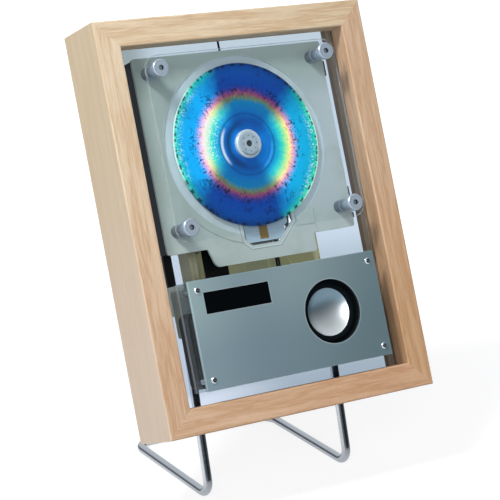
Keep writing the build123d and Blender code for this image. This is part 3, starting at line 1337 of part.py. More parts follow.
with BuildPart() as power_switch:
    with BuildSketch(spot(SWITCH_SIDE, BUTTON_HEIGHT - SWITCH_TRAVEL / 2, lid_level - BUTTON_PROUD)):
        Rectangle(SWITCH_WIDTH, SWITCH_KNOB_LENGTH)
    extrude(amount=BUTTON_PROUD + LID_THICKNESS + 2.1)
    with BuildSketch(spot(SWITCH_SIDE, BUTTON_HEIGHT - SWITCH_TRAVEL / 2, lid_level - BUTTON_PROUD)):
        with GridLocations(0, 1.2, 1, 3):
            Rectangle(SWITCH_WIDTH, 0.5)
    extrude(amount=0.4, mode=Mode.SUBTRACT)
power_switch.part.label = "power_switch"
export_step(power_switch.part, "parts/power_switch.step")

with BuildPart() as usb_inlet:
    with BuildSketch(upright(USB_SIDE, BACK_BOTTOM, port_level)):
        RectangleRounded(USB_WIDTH, USB_HEIGHT, USB_HEIGHT / 2 - 0.05)
        RectangleRounded(USB_WIDTH - 0.8, USB_HEIGHT - 0.8, USB_HEIGHT / 2 - 0.45, mode=Mode.SUBTRACT)
    extrude(amount=USB_LENGTH)
    with BuildSketch(upright(USB_SIDE, BACK_BOTTOM, port_level)):
        Rectangle(USB_WIDTH - 2.8, 0.7)
    extrude(amount=USB_LENGTH)
    with BuildSketch(upright(USB_SIDE, BACK_BOTTOM + USB_LENGTH, port_level)):
        Rectangle(USB_WIDTH, USB_HEIGHT)
    extrude(amount=BOARD_BOTTOM - BACK_BOTTOM - USB_LENGTH)
usb_inlet.part.label = "usb_inlet"
export_step(usb_inlet.part, "parts/usb_inlet.step")

# jack that stands on the housing's front wall and looks out of the lid
with BuildPart() as audio_jack:
    with BuildSketch(spot(JACK_SIDE, BUTTON_HEIGHT, back_open)):
        Rectangle(JACK_BODY, JACK_BODY)
    extrude(amount=BACK_DEPTH - BACK_WALL)
    with BuildSketch(spot(JACK_SIDE, BUTTON_HEIGHT, lid_level)):
        Circle(JACK_RADIUS)
    extrude(amount=LID_THICKNESS)
    with BuildSketch(spot(JACK_SIDE, BUTTON_HEIGHT, lid_level)):
        Circle(JACK_BORE)
    extrude(amount=JACK_LENGTH, mode=Mode.SUBTRACT)
audio_jack.part.label = "audio_jack"
export_step(audio_jack.part, "parts/audio_jack.step")

# aerial lead from the housing up to the bead under the top rail
AERIAL_SIDE = 3.8
AERIAL_RADIUS = 0.8
bead_low_edge = FRAME_HEIGHT - RAIL_BACK - BEAD_WIDTH
with BuildPart() as aerial_lead:
    with BuildSketch(upright(AERIAL_SIDE, BACK_TOP, panel_back - AERIAL_RADIUS - ROD_GAP)):
        Circle(AERIAL_RADIUS)
    extrude(amount=bead_low_edge - BACK_TOP)
aerial_lead.part.label = "aerial_lead"
export_step(aerial_lead.part, "parts/aerial_lead.step")

# ---------------------------------------------------------------- bent rod stand
riser_up = Vector(0, sin(radians(RISER_LEAN)), cos(radians(RISER_LEAN)))
riser_back = Vector(0, cos(radians(RISER_LEAN)), -sin(radians(RISER_LEAN)))
crossing = FACE.from_local_coords(Vector(STAND_HALF_WIDTH, RISER_CROSSING, -FRAME_DEPTH))
riser_point = crossing + riser_back * (ROD_RADIUS + ROD_GAP)
foot = riser_point - riser_up * ((riser_point.Z - ROD_RADIUS) / riser_up.Z)
foot_height = FACE.to_local_coords(foot).Y
riser_length = (SOCKET_BOTTOM + SOCKET_ROD_DEPTH - foot_height) / riser_up.dot(FACE.y_dir)
rod_top = foot + riser_up * riser_length
rear = Vector(foot.X, foot.Y + STAND_REACH, foot.Z)
right_half = [rod_top, foot, rear]
rod_points = [Vector(-p.X, p.Y, p.Z) for p in right_half] + right_half[::-1]

# straight runs, each followed by a bend, from one riser round to the other
with BuildPart() as stand_rod:
    run_start = rod_points[0]
    bends = (FOOT_BEND, REAR_BEND, REAR_BEND, FOOT_BEND)
    for before, corner, after, bend in zip(rod_points, rod_points[1:], rod_points[2:], bends):
        heading = (corner - before).normalized()
        turned = (after - corner).normalized()
        turn = heading.get_angle(turned)
        setback = bend * tan(radians(turn / 2))
        bend_start = corner - heading * setback
        with BuildSketch(Plane(origin=run_start, z_dir=heading)):
            Circle(ROD_RADIUS)
        extrude(amount=(bend_start - run_start).length)
        inward = (turned - heading * turned.dot(heading)).normalized()
        with BuildSketch(Plane(origin=bend_start, z_dir=heading)):
            Circle(ROD_RADIUS)
        revolve(axis=Axis(bend_start + inward * bend, heading.cross(turned)), revolution_arc=turn)
        run_start = corner + turned * setback
    with BuildSketch(Plane(origin=run_start, z_dir=turned)):
        Circle(ROD_RADIUS)
    extrude(amount=(rod_points[-1] - run_start).length)
    chamfer(stand_rod.faces().filter_by(GeomType.PLANE).edges(), length=ROD_CHAMFER)
stand_rod.part.label = "stand_rod"
export_step(stand_rod.part, "parts/stand_rod.step")

# sockets beside the rear housing that the rod plugs into
socket_side = BACK_HALF_WIDTH + SOCKET_WIDTH / 2
with BuildPart() as rod_sockets:
    with BuildSketch(level(-FRAME_DEPTH)):
        for side in (-1, 1):
            with Locations((side * socket_side, (SOCKET_BOTTOM + SOCKET_TOP) / 2)):
                RectangleRounded(SOCKET_WIDTH, SOCKET_TOP - SOCKET_BOTTOM, 1.5)
    extrude(amount=FRAME_DEPTH + panel_back)
    for side in (-1, 1):
        socket_plane = Plane(origin=(side * rod_top.X, rod_top.Y, rod_top.Z), z_dir=riser_up)
        with BuildSketch(socket_plane.offset(0.5)):
            Circle(ROD_RADIUS + ROD_FIT)
        extrude(amount=-riser_length / 2, mode=Mode.SUBTRACT)
rod_sockets.part.label = "rod_sockets"
export_step(rod_sockets.part, "parts/rod_sockets.step")
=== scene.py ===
import math

import bmesh
import bpy
from mathutils import Matrix, Vector


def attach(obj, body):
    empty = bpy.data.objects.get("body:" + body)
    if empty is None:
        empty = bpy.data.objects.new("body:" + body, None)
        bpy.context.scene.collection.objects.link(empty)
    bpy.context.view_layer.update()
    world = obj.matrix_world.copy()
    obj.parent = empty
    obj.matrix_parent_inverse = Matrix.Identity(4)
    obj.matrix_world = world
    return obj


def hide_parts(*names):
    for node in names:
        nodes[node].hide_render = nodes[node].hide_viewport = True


# The looks of a disc player in a wooden frame: a node material for every solid, two smoother forms for
# the speaker, a pale floor, plain soft studio light and a camera at the photograph's angle.
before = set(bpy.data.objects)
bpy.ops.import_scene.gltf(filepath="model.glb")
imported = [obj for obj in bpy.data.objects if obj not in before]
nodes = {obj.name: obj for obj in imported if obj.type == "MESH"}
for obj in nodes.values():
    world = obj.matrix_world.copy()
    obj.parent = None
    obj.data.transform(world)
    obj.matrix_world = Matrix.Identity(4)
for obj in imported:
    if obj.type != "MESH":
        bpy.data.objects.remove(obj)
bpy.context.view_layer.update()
scene = bpy.context.scene
scene.view_settings.view_transform = "Standard"

# ---------------------------------------------------------------- frame axes
MM = 0.001
LEAN = math.radians(22)
LEAN_SIN, LEAN_COS = math.sin(LEAN), math.cos(LEAN)
FRAME_HEIGHT, FRAME_DEPTH, FRAME_LIFT = 294, 49, 69.5
FRAME_HALF_WIDTH = 111.5
GROUND_DEPTH = FRAME_HEIGHT * LEAN_SIN + FRAME_DEPTH * LEAN_COS
ORIGIN = Vector((0, -GROUND_DEPTH / 2, FRAME_LIFT)) * MM
RIGHT = Vector((1, 0, 0))
UP = Vector((0, LEAN_SIN, LEAN_COS))
OUT = Vector((0, -LEAN_COS, LEAN_SIN))
LEFT = -RIGHT
SKY = Vector((0, 0, 1))

# places on the frame, in mm: u across it, v up it, w out of its front
DISC_HEIGHT, DISC_RADIUS = 197.5, 60.0
WELL_RADIUS = 66.0
SLOT_LEFT, SLOT_RIGHT, SLOT_BOTTOM, SLOT_BEVEL = -14.9, 27.0, 124.4, 2.6
SLOT_LEFT_CHAMFER, SLOT_RIGHT_CHAMFER = 5.0, 14.0
POST_SIDE, POST_MIDDLE, POST_RISE = 69.0, 199.3, 56.9
SCREW_SIDE, SCREW_MIDDLE, SCREW_RISE = 72.0, 66.8, 31.6
SPEAKER_SIDE, SPEAKER_HEIGHT, SPEAKER_HOLE = 34.3, 67.0, 23.4
CONE_RADIUS, CONE_LEVEL, CONE_DEPTH, CONE_SHEET = 17.3, -2.4, 4.6, 0.5
ROLL_INNER, ROLL_OUTER, ROLL_RISE = 17.6, 22.2, 1.6
LIP_CREST, LIP_RISE, LIP_REACH, LIP_DROP = 0.15, 0.12, 0.25, 0.1
FLANGE_ROOM, FLANGE_SHEET = 0.3, 0.8
WINDOW_SIDE, WINDOW_HEIGHT = -41.05, 88.7
WINDOW_HALF_WIDTH, WINDOW_HALF_HEIGHT = 26.65, 7.7


def at(u, v, w):
    """World point of a place on the frame."""
    return ORIGIN + (RIGHT * u + UP * v + OUT * w) * MM


def aim(u, v, w):
    """World direction of a direction on the frame."""
    return (RIGHT * u + UP * v + OUT * w).normalized()


def srgb(r, g, b):
    """Linear colour from 0-255 display values, by the sRGB curve."""
    def one(c):
        c /= 255
        return c / 12.92 if c <= 0.04045 else ((c + 0.055) / 1.055) ** 2.4
    return (one(r), one(g), one(b))


# ---------------------------------------------------------------- node builder
WHITE, BLACK = (1, 1, 1), (0, 0, 0)
# the Mix node's colour sockets go by number, since its sockets for other types share their names
MIX_FACTOR, MIX_A, MIX_B, MIX_RESULT = 0, 6, 7, 2
SOCKETS = {
    "color": "Base Color", "rough": "Roughness", "metal": "Metallic", "spec": "Specular IOR Level",
    "coat": "Coat Weight", "coat_rough": "Coat Roughness",
    "glow": "Emission Strength", "glow_color": "Emission Color",
}


class Tree:
    """Small builder for a node tree."""

    def __init__(self, tree):
        self.tree = tree

    def plug(self, socket, value):
        """Link a socket to another, or set its own value."""
        if isinstance(value, bpy.types.NodeSocket):
            self.tree.links.new(value, socket)
        elif socket.type == "RGBA":
            socket.default_value = (*value[:3], 1)
        else:
            socket.default_value = value

    def node(self, kind, inputs=None, **props):
        """New node, with its inputs by name or number, and its properties."""
        n = self.tree.nodes.new(kind)
        for key, value in props.items():
            setattr(n, key, value)
        for key, value in (inputs or {}).items():
            self.plug(n.inputs[key], value)
        return n

    def math(self, op, *values):
        return self.node("ShaderNodeMath", dict(enumerate(values)), operation=op).outputs[0]

    def add(self, a, b):
        return self.math("ADD", a, b)

    def less(self, a, b):
        return self.math("SUBTRACT", a, b)

    def times(self, *factors):
        product = factors[0]
        for factor in factors[1:]:
            product = self.math("MULTIPLY", product, factor)
        return product

    def most(self, *values):
        largest = values[0]
        for value in values[1:]:
            largest = self.math("MAXIMUM", largest, value)
        return largest

    def off(self, x, middle):
        """How far x is from a middle value, to either side."""
        return self.math("ABSOLUTE", self.less(x, middle))

    def span(self, a, b):
        """Length of the diagonal over two sides."""
        return self.math("SQRT", self.add(self.times(a, a), self.times(b, b)))

    def dot(self, vector, axis):
        """How far a vector reaches along an axis."""
        ins = {0: vector, 1: axis}
        return self.node("ShaderNodeVectorMath", ins, operation="DOT_PRODUCT").outputs["Value"]

    def vec(self, x, y, z):
        return self.node("ShaderNodeCombineXYZ", {0: x, 1: y, 2: z}).outputs[0]

    def smooth(self, x, low, high):
        """0 where x is low, 1 where it is high, with soft ends; low may be the larger."""
        ins = {"Value": x, "From Min": low, "From Max": high}
        return self.node("ShaderNodeMapRange", ins, interpolation_type="SMOOTHSTEP").outputs[0]

    def band(self, x, middle, half):
        """1 at the middle, falling softly to 0 at half a width away."""
        return self.smooth(self.off(x, middle), half, 0)

    def noise(self, vector, scale=1.0, detail=2.0, rough=0.5, distortion=0.0):
        ins = {"Vector": vector, "Scale": scale, "Detail": detail, "Roughness": rough,
               "Distortion": distortion}
        return self.node("ShaderNodeTexNoise", ins).outputs["Fac"]

    def cracks(self, vector, scale):
        """Distance to the nearest edge between irregular cells."""
        ins = {"Vector": vector, "Scale": scale}
        return self.node("ShaderNodeTexVoronoi", ins, feature="DISTANCE_TO_EDGE").outputs["Distance"]

    def ramp(self, fac, stops):
        """Colour that runs through (position, colour) stops."""
        n = self.node("ShaderNodeValToRGB", {0: fac})
        elements = n.color_ramp.elements
        while len(elements) < len(stops):
            elements.new(0.5)
        for element, (position, color) in zip(elements, stops):
            element.position = position
            element.color = (*color, 1)
        return n.outputs[0]

    def mix(self, fac, a, b, blend="MIX"):
        """Colour a, turning into b as the factor goes to 1."""
        ins = {MIX_FACTOR: fac, MIX_A: a, MIX_B: b}
        return self.node("ShaderNodeMix", ins, data_type="RGBA", blend_type=blend).outputs[MIX_RESULT]

    def blend_shader(self, fac, a, b):
        return self.node("ShaderNodeMixShader", {0: fac, 1: a, 2: b}).outputs[0]


class Material(Tree):
    """Builder for a node material on the principled shader."""

    def __init__(self, name, **values):
        self.material = bpy.data.materials.new(name)
        self.material.use_nodes = True
        super().__init__(self.material.node_tree)
        self.bsdf = self.tree.nodes["Principled BSDF"]
        self.surface = self.tree.nodes["Material Output"].inputs["Surface"]
        self.set(**values)

    def set(self, **values):
        """Set or link the shader's sockets by their short names."""
        for key, value in values.items():
            self.plug(self.bsdf.inputs[SOCKETS[key]], value)

    def bump(self, height, strength, depth):
        """Raise the surface by a height pattern; depth is in mm."""
        ins = {"Height": height, "Strength": strength, "Distance": depth * MM}
        self.plug(self.bsdf.inputs["Normal"], self.node("ShaderNodeBump", ins).outputs[0])

    def space(self):
        """Frame coordinates in mm (u, v, w) of the shaded point, from the rest mesh."""
        place = self.node("ShaderNodeTexCoord").outputs["Object"]
        moved = self.node("ShaderNodeVectorMath", {0: place, 1: ORIGIN}, operation="SUBTRACT").outputs[0]
        return [self.dot(moved, axis / MM) for axis in (RIGHT, UP, OUT)]

    def facing(self, axis):
        """How squarely the surface faces an axis, from -1 to 1."""
        return self.dot(self.node("ShaderNodeTexCoord").outputs["Normal"], axis)

    def radius(self, u, v, side, height):
        """Distance in the frame's plane from a centre."""
        return self.span(self.less(u, side), self.less(v, height))

    def corner_radius(self, u, v, side, middle, rise):
        """Distance from the nearest of four centres at +-side, middle +- rise."""
        across = self.less(self.math("ABSOLUTE", u), side)
        return self.span(across, self.less(self.off(v, middle), rise))

    def slot_reach(self, u, v):
        """Distance outside the pickup's chamfered slot, for v below the disc."""
        low = self.less(SLOT_BOTTOM, v)
        left, right = self.less(SLOT_LEFT, u), self.less(u, SLOT_RIGHT)
        left_cut = self.times(self.add(self.add(left, low), SLOT_LEFT_CHAMFER), math.sqrt(0.5))
        right_cut = self.times(self.add(self.add(right, low), SLOT_RIGHT_CHAMFER), math.sqrt(0.5))
        return self.most(low, left, right, left_cut, right_cut)


def dress(material, *names):
    """Give CAD nodes a material."""
    for name in names:
        data = nodes[name].data
        data.materials.clear()
        data.materials.append(material.material)


def cloudy(m, base, amount=0.06):
    """A colour with a slight cloudy variation."""
    cloud = m.noise(m.vec(*m.space()), scale=0.6, detail=3.0)
    darker = [c * (1 - amount) for c in base]
    lighter = [min(1.0, c * (1 + amount)) for c in base]
    return m.mix(cloud, darker, lighter)


def moulded(name, base, rough=0.45, grain=0.25, **more):
    """Moulded plastic with a fine spark-eroded grain."""
    m = Material(name, rough=rough, **more)
    m.set(color=cloudy(m, base))
    m.bump(m.noise(m.vec(*m.space()), scale=6.0), strength=grain, depth=0.05)
    return m


def tool_marks(m, scale):
    """Fine marks of a cutting tool, six times closer together along w."""
    u, v, w = m.space()
    marks = m.noise(m.vec(u, v, m.times(w, 6.0)), scale=scale, detail=1.0)
    m.bump(marks, strength=0.08, depth=0.05)


def turned(name, base):
    """Machined bright metal."""
    m = Material(name, rough=0.25, metal=0.9)
    m.set(color=cloudy(m, base, 0.04))
    tool_marks(m, scale=9.0)
    return m


# Zones of colour below are pairs of values. smooth() takes where a zone is absent and where it is full,
# and band() takes the middle of a line and half its width. A height, side, level, edge or ring is in mm
# on the frame, and a facing, share or fan is a cosine, a noise or a direction between -1 and 1.

# ---------------------------------------------------------------- wood
BOARD_FADE = (250, 20)
SIDE_FACING = (0.4, 0.9)
SHADED_HEIGHT = (190, 60)
# how fast each noise changes per mm: along the grain, across it and into the board
FIGURE_RATES, STREAK_RATES, PORE_RATES = (0.014, 0.20, 0.22), (0.05, 1.0, 1.0), (0.16, 3.4, 3.4)
FIGURE_TINTS = [(0.30, (1.07, 1.08, 1.09)), (0.46, (1.0, 0.98, 0.96)),
                (0.57, (0.88, 0.79, 0.70)), (0.70, (1.06, 1.06, 1.06))]
STREAK_TINTS = [(0.35, (0.88, 0.83, 0.77)), (0.60, (1.03, 1.03, 1.04))]
PORE_TINTS = [(0.28, (0.84, 0.77, 0.69)), (0.36, WHITE)]


def lit_left_side(m, height, color):
    """Outer side of the left stile with painted light: yellower at its top and paler at its foot."""
    side = m.mix(m.smooth(height, *BOARD_FADE), srgb(196, 180, 151), srgb(221, 207, 191))
    return m.mix(m.times(m.smooth(m.facing(LEFT), *SIDE_FACING), 0.7), color, side)


def shaded_side(m, height, color):
    """Inner side of the right stile, with painted shade that deepens low down."""
    low = m.smooth(height, *SHADED_HEIGHT)
    return m.mix(m.times(m.smooth(m.facing(LEFT), *SIDE_FACING), low, 0.28), color, srgb(120, 92, 66))


def wood(name, shift, first, last, upright=False, side=None):
    """Pale fine-grained wood; its colour goes from first, at the top or left, to last. The shift in mm
    across the grain gives each board its own figure, and side paints light or shade on the faces that look
    left."""
    m = Material(name, rough=0.52, spec=0.3)
    u, v, w = m.space()
    along, across = (v, u) if upright else (u, v)
    across = m.add(across, shift)

    def grain(rates, **kind):
        stretched = (m.times(way, rate) for way, rate in zip((along, across, w), rates))
        return m.noise(m.vec(*stretched), **kind)

    figure = grain(FIGURE_RATES, detail=3.0, rough=0.6, distortion=0.5)
    streaks = grain(STREAK_RATES, scale=1.4, detail=4.0, rough=0.65)
    pores = grain(PORE_RATES, detail=1.0)
    fade = m.smooth(v, *BOARD_FADE) if upright else m.smooth(u, -FRAME_HALF_WIDTH, FRAME_HALF_WIDTH)
    color = m.mix(fade, first, last)
    for weight, pattern, tints in ((1.0, figure, FIGURE_TINTS), (0.85, streaks, STREAK_TINTS),
                                   (0.6, pores, PORE_TINTS)):
        color = m.mix(weight, color, m.ramp(pattern, tints), "MULTIPLY")
    m.set(color=side(m, v, color) if side else color)
    m.bump(streaks, strength=0.10, depth=0.2)
    return m


dress(wood("wood_left", 0.0, srgb(217, 200, 175), srgb(205, 175, 147), upright=True, side=lit_left_side),
      "frame_left_stile")
dress(wood("wood_right", 31.0, srgb(207, 180, 154), srgb(201, 165, 129), upright=True, side=shaded_side),
      "frame_right_stile")
dress(wood("wood_top", 57.0, srgb(216, 198, 171), srgb(212, 193, 164)), "frame_top_rail")
dress(wood("wood_bottom", 93.0, srgb(208, 177, 149), srgb(206, 169, 137)), "frame_bottom_rail")
dress(wood("wood_beads", 120.0, srgb(238, 212, 184), srgb(238, 208, 178), upright=True), "retaining_beads")


# ---------------------------------------------------------------- clear pieces
ACRYLIC_IOR = 1.2
PASSING_LIGHT = (0.97, 0.97, 0.97)     # what each face lets through of the light on other things
# edges: where a face counts as one, and how its painted highlight dims to the left
SAWN_FACING, DIM_EDGE_FACING, DIM_EDGE_LOSS = (0.7, 0.3), (0.3, 0.8), 0.7
# zones of the back panel's painted wall shade
FOOT_HEIGHT, FOOT_SIDE = (30, 22), (-70, 20)
MIDDLE_HEIGHT, MIDDLE_SIDE = (128, 106), (0, -50)
TOP_HEIGHT, TOP_SIDE = (262, 270), (-48, -74)


def clear(name, tint, haze, edge, edge_weight=0.5):
    """Thin clear acrylic: tinted faces with a faint haze and a polish, and edges with a pale painted
    highlight for light caught in the sheet, dimmer to the left. The tint is for what is seen directly or in
    a mirror; other light passes nearly whole."""
    m = Material(name)
    color = tint(m) if callable(tint) else tint
    one_face = m.node("ShaderNodeGamma", {"Color": color, "Gamma": 0.5}).outputs[0]
    paths = m.node("ShaderNodeLightPath").outputs
    one_face = m.mix(m.most(paths["Is Camera Ray"], paths["Is Glossy Ray"]), PASSING_LIGHT, one_face)
    see = m.node("ShaderNodeBsdfTransparent", {"Color": one_face}).outputs[0]
    film = m.node("ShaderNodeBsdfDiffuse", {"Color": srgb(196, 208, 216)}).outputs[0]
    rim = m.node("ShaderNodeBsdfDiffuse", {"Color": edge}).outputs[0]
    polish = m.node("ShaderNodeBsdfGlossy", {"Color": WHITE, "Roughness": 0.06}).outputs[0]
    # Cycles inverts the index on back faces; that is undone, since rays go straight through the sheet
    leaving = m.node("ShaderNodeNewGeometry").outputs["Backfacing"]
    ior = m.math("POWER", ACRYLIC_IOR, m.math("MULTIPLY_ADD", leaving, -2.0, 1.0))
    fresnel = m.node("ShaderNodeFresnel", {"IOR": ior}).outputs[0]
    # painted highlight on the sheet's edges for light caught inside it, dimmer where they face left
    dim = m.smooth(m.facing(LEFT), *DIM_EDGE_FACING)
    edge_share = m.math("MULTIPLY_ADD", dim, -DIM_EDGE_LOSS * edge_weight, edge_weight)
    edge_highlight = m.times(m.smooth(m.math("ABSOLUTE", m.facing(OUT)), *SAWN_FACING), edge_share)
    sheet = m.blend_shader(edge_highlight, m.blend_shader(haze, see, film), rim)
    m.plug(m.surface, m.blend_shader(fresnel, sheet, polish))
    return m


def panel_wall_shade(m):
    """Painted shade of the wall behind the clear back panel, as a blue-grey tint, deeper at its foot to the
    right and in its top left corner.
    """
    u, v, w = m.space()
    foot = m.mix(m.smooth(u, *FOOT_SIDE), srgb(214, 225, 240), srgb(168, 184, 199))
    middle = m.mix(m.smooth(v, *MIDDLE_HEIGHT), srgb(189, 204, 219), srgb(172, 188, 201))
    middle = m.mix(m.smooth(u, *MIDDLE_SIDE), middle, srgb(186, 200, 216))
    tint = m.mix(m.smooth(v, *FOOT_HEIGHT), middle, foot)
    top = m.mix(m.smooth(u, *TOP_SIDE), srgb(181, 196, 207), srgb(140, 154, 157))
    tint = m.mix(m.smooth(v, *TOP_HEIGHT), tint, top)
    return m.mix(m.times(m.noise(m.vec(u, v, w), scale=0.02), 0.15), tint, srgb(170, 188, 204))


dress(clear("clear_panel", panel_wall_shade, haze=0.005, edge=(0.8, 0.85, 0.88)), "back_panel")
dress(clear("clear_cover", srgb(246, 249, 251), haze=0.005, edge=srgb(236, 243, 246)), "clear_cover")
dress(clear("clear_carrier", srgb(214, 222, 226), haze=0.06, edge=srgb(240, 246, 248), edge_weight=0.9),
      "carrier_plate")
dress(clear("smoky_cover", srgb(168, 176, 158), haze=0.25, edge=srgb(150, 158, 142)), "wiring_cover")


# ---------------------------------------------------------------- deck
# painted light towards the lower right and along the top edge, and painted shade in the top left corner
LIT_HEIGHT, LIT_SIDE = (258, 222), (-44, 36)
LOW_HEIGHT = (190, 120)
TOP_EDGE_HEIGHT = (252, 264)
SHADE_CORNER_HEIGHT, SHADE_CORNER_SIDE = (232, 252), (-62, -76)
WELL_EDGE = (WELL_RADIUS + 1.0, WELL_RADIUS - 0.5)
MOTTLE_SHARE = (0.45, 0.75)
SLOT_TOP = (146, 138)
# the step round the slot: distance from the slot and half width of its painted highlight and its painted
# shadow line
STEP_HIGHLIGHT, STEP_SHADOW = (SLOT_BEVEL - 0.5, 0.6), (SLOT_BEVEL + 0.4, 0.7)


def deck():
    """Grey-green moulded deck with a pale disc well and a mottle, paler low down. Painted light makes it
    paler and bluer towards the lower right and along its top edge, painted shade darkens its top left
    corner, and a painted highlight and a painted shadow line mark the step round the pickup's slot."""
    m = Material("deck_plastic", rough=0.38, spec=0.35)
    u, v, w = m.space()
    lower_right_light = m.times(m.smooth(v, *LIT_HEIGHT), m.smooth(u, *LIT_SIDE))
    corner = m.times(m.smooth(u, *SHADE_CORNER_SIDE), m.smooth(v, *SHADE_CORNER_HEIGHT))
    well = m.smooth(m.radius(u, v, 0, DISC_HEIGHT), *WELL_EDGE)
    mottle = m.smooth(m.noise(m.vec(u, v, w), scale=0.045, detail=3.0, rough=0.6), *MOTTLE_SHARE)
    outline, below = m.slot_reach(u, v), m.smooth(v, *SLOT_TOP)
    color = m.mix(lower_right_light, srgb(157, 176, 173), srgb(180, 198, 204))
    # paler tone low down, painted light on the top edge, painted shade in the corner, the well, the mottle,
    # and the step's painted highlight and shadow
    for zone, weight, shade in (
            (m.smooth(v, *LOW_HEIGHT), 0.7, srgb(175, 191, 190)),
            (m.smooth(v, *TOP_EDGE_HEIGHT), 0.6, srgb(178, 198, 196)),
            (corner, 0.75, srgb(112, 128, 130)),
            (well, 0.8, srgb(196, 214, 224)),
            (mottle, 0.35, srgb(148, 166, 152)),
            (m.times(m.band(outline, *STEP_HIGHLIGHT), below), 0.6, srgb(212, 226, 230)),
            (m.times(m.band(outline, *STEP_SHADOW), below), 0.6, srgb(104, 120, 120))):
        color = m.mix(m.times(zone, weight), color, shade)
    m.set(color=color)
    m.bump(m.noise(m.vec(u, v, w), scale=5.0), strength=0.08, depth=0.05)
    return m


dress(deck(), "deck_plate")


# ---------------------------------------------------------------- disc
# the rainbow by share of the radius, in the disc's two fans of painted reflection and between them
LIT_RINGS = [
    (0.18, srgb(2, 116, 200)), (0.32, srgb(3, 108, 192)), (0.42, srgb(12, 165, 215)),
    (0.50, srgb(70, 222, 205)), (0.56, srgb(190, 238, 165)), (0.595, srgb(255, 238, 170)),
    (0.635, srgb(255, 168, 214)), (0.68, srgb(120, 170, 250)), (0.73, srgb(6, 172, 252)),
    (0.90, srgb(6, 166, 228)), (0.96, srgb(20, 196, 192)), (1.0, srgb(92, 232, 200))]
DARK_RINGS = [
    (0.18, srgb(2, 88, 170)), (0.30, srgb(2, 72, 146)), (0.42, srgb(2, 96, 164)),
    (0.53, srgb(4, 108, 158)), (0.575, srgb(84, 116, 84)), (0.63, srgb(128, 62, 94)),
    (0.68, srgb(52, 48, 126)), (0.73, srgb(0, 58, 146)), (0.90, srgb(0, 64, 142)),
    (1.0, srgb(0, 52, 112))]
# the two fans are painted reflection
FAN_TURN = math.radians(166)           # one lit fan, counted from the right; the other is opposite
RING_WANDER, FAN_WANDER = 9.0, 0.9     # how far noise moves the rings, in mm, and the fans' ends
FAN_LIT, FAN_MIDDLE, FAN_CORE, FAN_RIM = (-0.55, 0.5), (0.0, 0.7), (0.2, 0.9), (0.0, 0.6)
WARM_SIDE, WARM_TINT = (15, 35), (1.0, 1.0, 0.74)
# where a direction from the centre counts as left, as far left, and as low on the right
LEFT_SHARE, FAR_LEFT_SHARE, LOW_RIGHT_SHARE = (0.35, -0.75), (-0.72, -0.96), (0.82, 0.98)
LOW_RIGHT_COS, LOW_RIGHT_SIN = 0.87, 0.5
# lines round the centre, as (radius, half width): the hub's painted glint and its painted echo, a painted
# shade ring, the stacking ring, painted glints, a painted highlight bloom, dark flecks and spikes, rim
# dashes and the rim's painted glint
HUB_GLINT, HUB_ECHO_GLINT, HUB_SHADE, STACKING_RING = (21.0, 2.0), (20.5, 1.6), (16.0, 4.4), (22.6, 1.2)
SPARKS_INNER, SPARKS_OUTER, BLOOM_HIGHLIGHT = (32.0, 10.0), (56.0, 5.0), (35.5, 6.5)
FLECKS_INNER, FLECKS_OUTER, SPIKES = (40.0, 9.0), (50.0, 9.0), (41.0, 7.0)
RIM_DASHES, RIM_GLINT = (57.6, 58.4), (59.2, 59.6)
# shares of a noise at which a mark starts and is full
SPARK_SHARE, PATCH_SHARE, BREAK_SHARE = (0.52, 0.64), (0.46, 0.55), (0.47, 0.55)
VEIN_WIDTH, SPIKE_SHARE, DASH_SHARE = (0.14, 0.05), (0.56, 0.63), (0.48, 0.54)
MARK_BLUE = srgb(2, 18, 46)


# A noise's third coordinate is a layer of it, and each pattern on the disc has its own.
def rays(m, r, turn, per_radian, per_mm, layer):
    """Place in a noise that runs out from the centre: close round it and long along the radius."""
    return m.vec(m.times(turn, per_radian), m.times(r, per_mm), layer)


def disc_rings(m, r, turn, x, reflection_fan):
    """Rainbow rings with a ragged edge, bright in the fans of painted reflection and dark between them."""
    ragged = m.noise(rays(m, r, turn, 15.0, 0.10, 2.0), scale=1.6, detail=4.0, rough=0.75)
    moved = m.add(r, m.times(m.less(ragged, 0.5), RING_WANDER))
    ring = m.math("DIVIDE", moved, DISC_RADIUS)
    warm = m.times(m.smooth(x, *WARM_SIDE), 0.8)
    reflected = m.mix(warm, m.ramp(ring, LIT_RINGS), WARM_TINT, "MULTIPLY")
    return m.mix(m.smooth(reflection_fan, *FAN_LIT), m.ramp(ring, DARK_RINGS), reflected)


def disc_marks(m, r, turn, x, y):
    """Dark marks: broken veins in patches, radial spikes, and dashes round the rim."""
    patches = m.noise(m.vec(x, y, 14.0), scale=0.11, detail=2.0, rough=0.6)
    wander = m.noise(m.vec(x, y, 3.0), scale=0.35, detail=2.0)
    bent = m.vec(m.add(x, m.times(wander, 3.0)), m.add(y, m.times(wander, 4.0)), 0.0)
    veins = m.smooth(m.cracks(bent, 0.30), *VEIN_WIDTH)
    zone = m.add(m.band(r, *FLECKS_INNER), m.times(m.band(r, *FLECKS_OUTER), 0.6))
    broken = m.smooth(m.noise(m.vec(x, y, 31.0), scale=0.24, detail=1.0), *BREAK_SHARE)
    flecks = m.times(veins, m.smooth(patches, *PATCH_SHARE), broken, zone)
    spikes = m.noise(rays(m, r, turn, 16.0, 0.16, 21.0), scale=1.7, detail=3.0, rough=0.7)
    spikes = m.times(m.smooth(spikes, *SPIKE_SHARE), m.band(r, *SPIKES))
    rim = m.noise(rays(m, r, turn, 15.0, 0.0, 7.0), detail=1.0)
    dashes = m.times(m.smooth(r, *RIM_DASHES), m.smooth(rim, *DASH_SHARE))
    return m.most(m.times(flecks, 0.9), m.times(spikes, 0.95), m.times(dashes, 0.85))


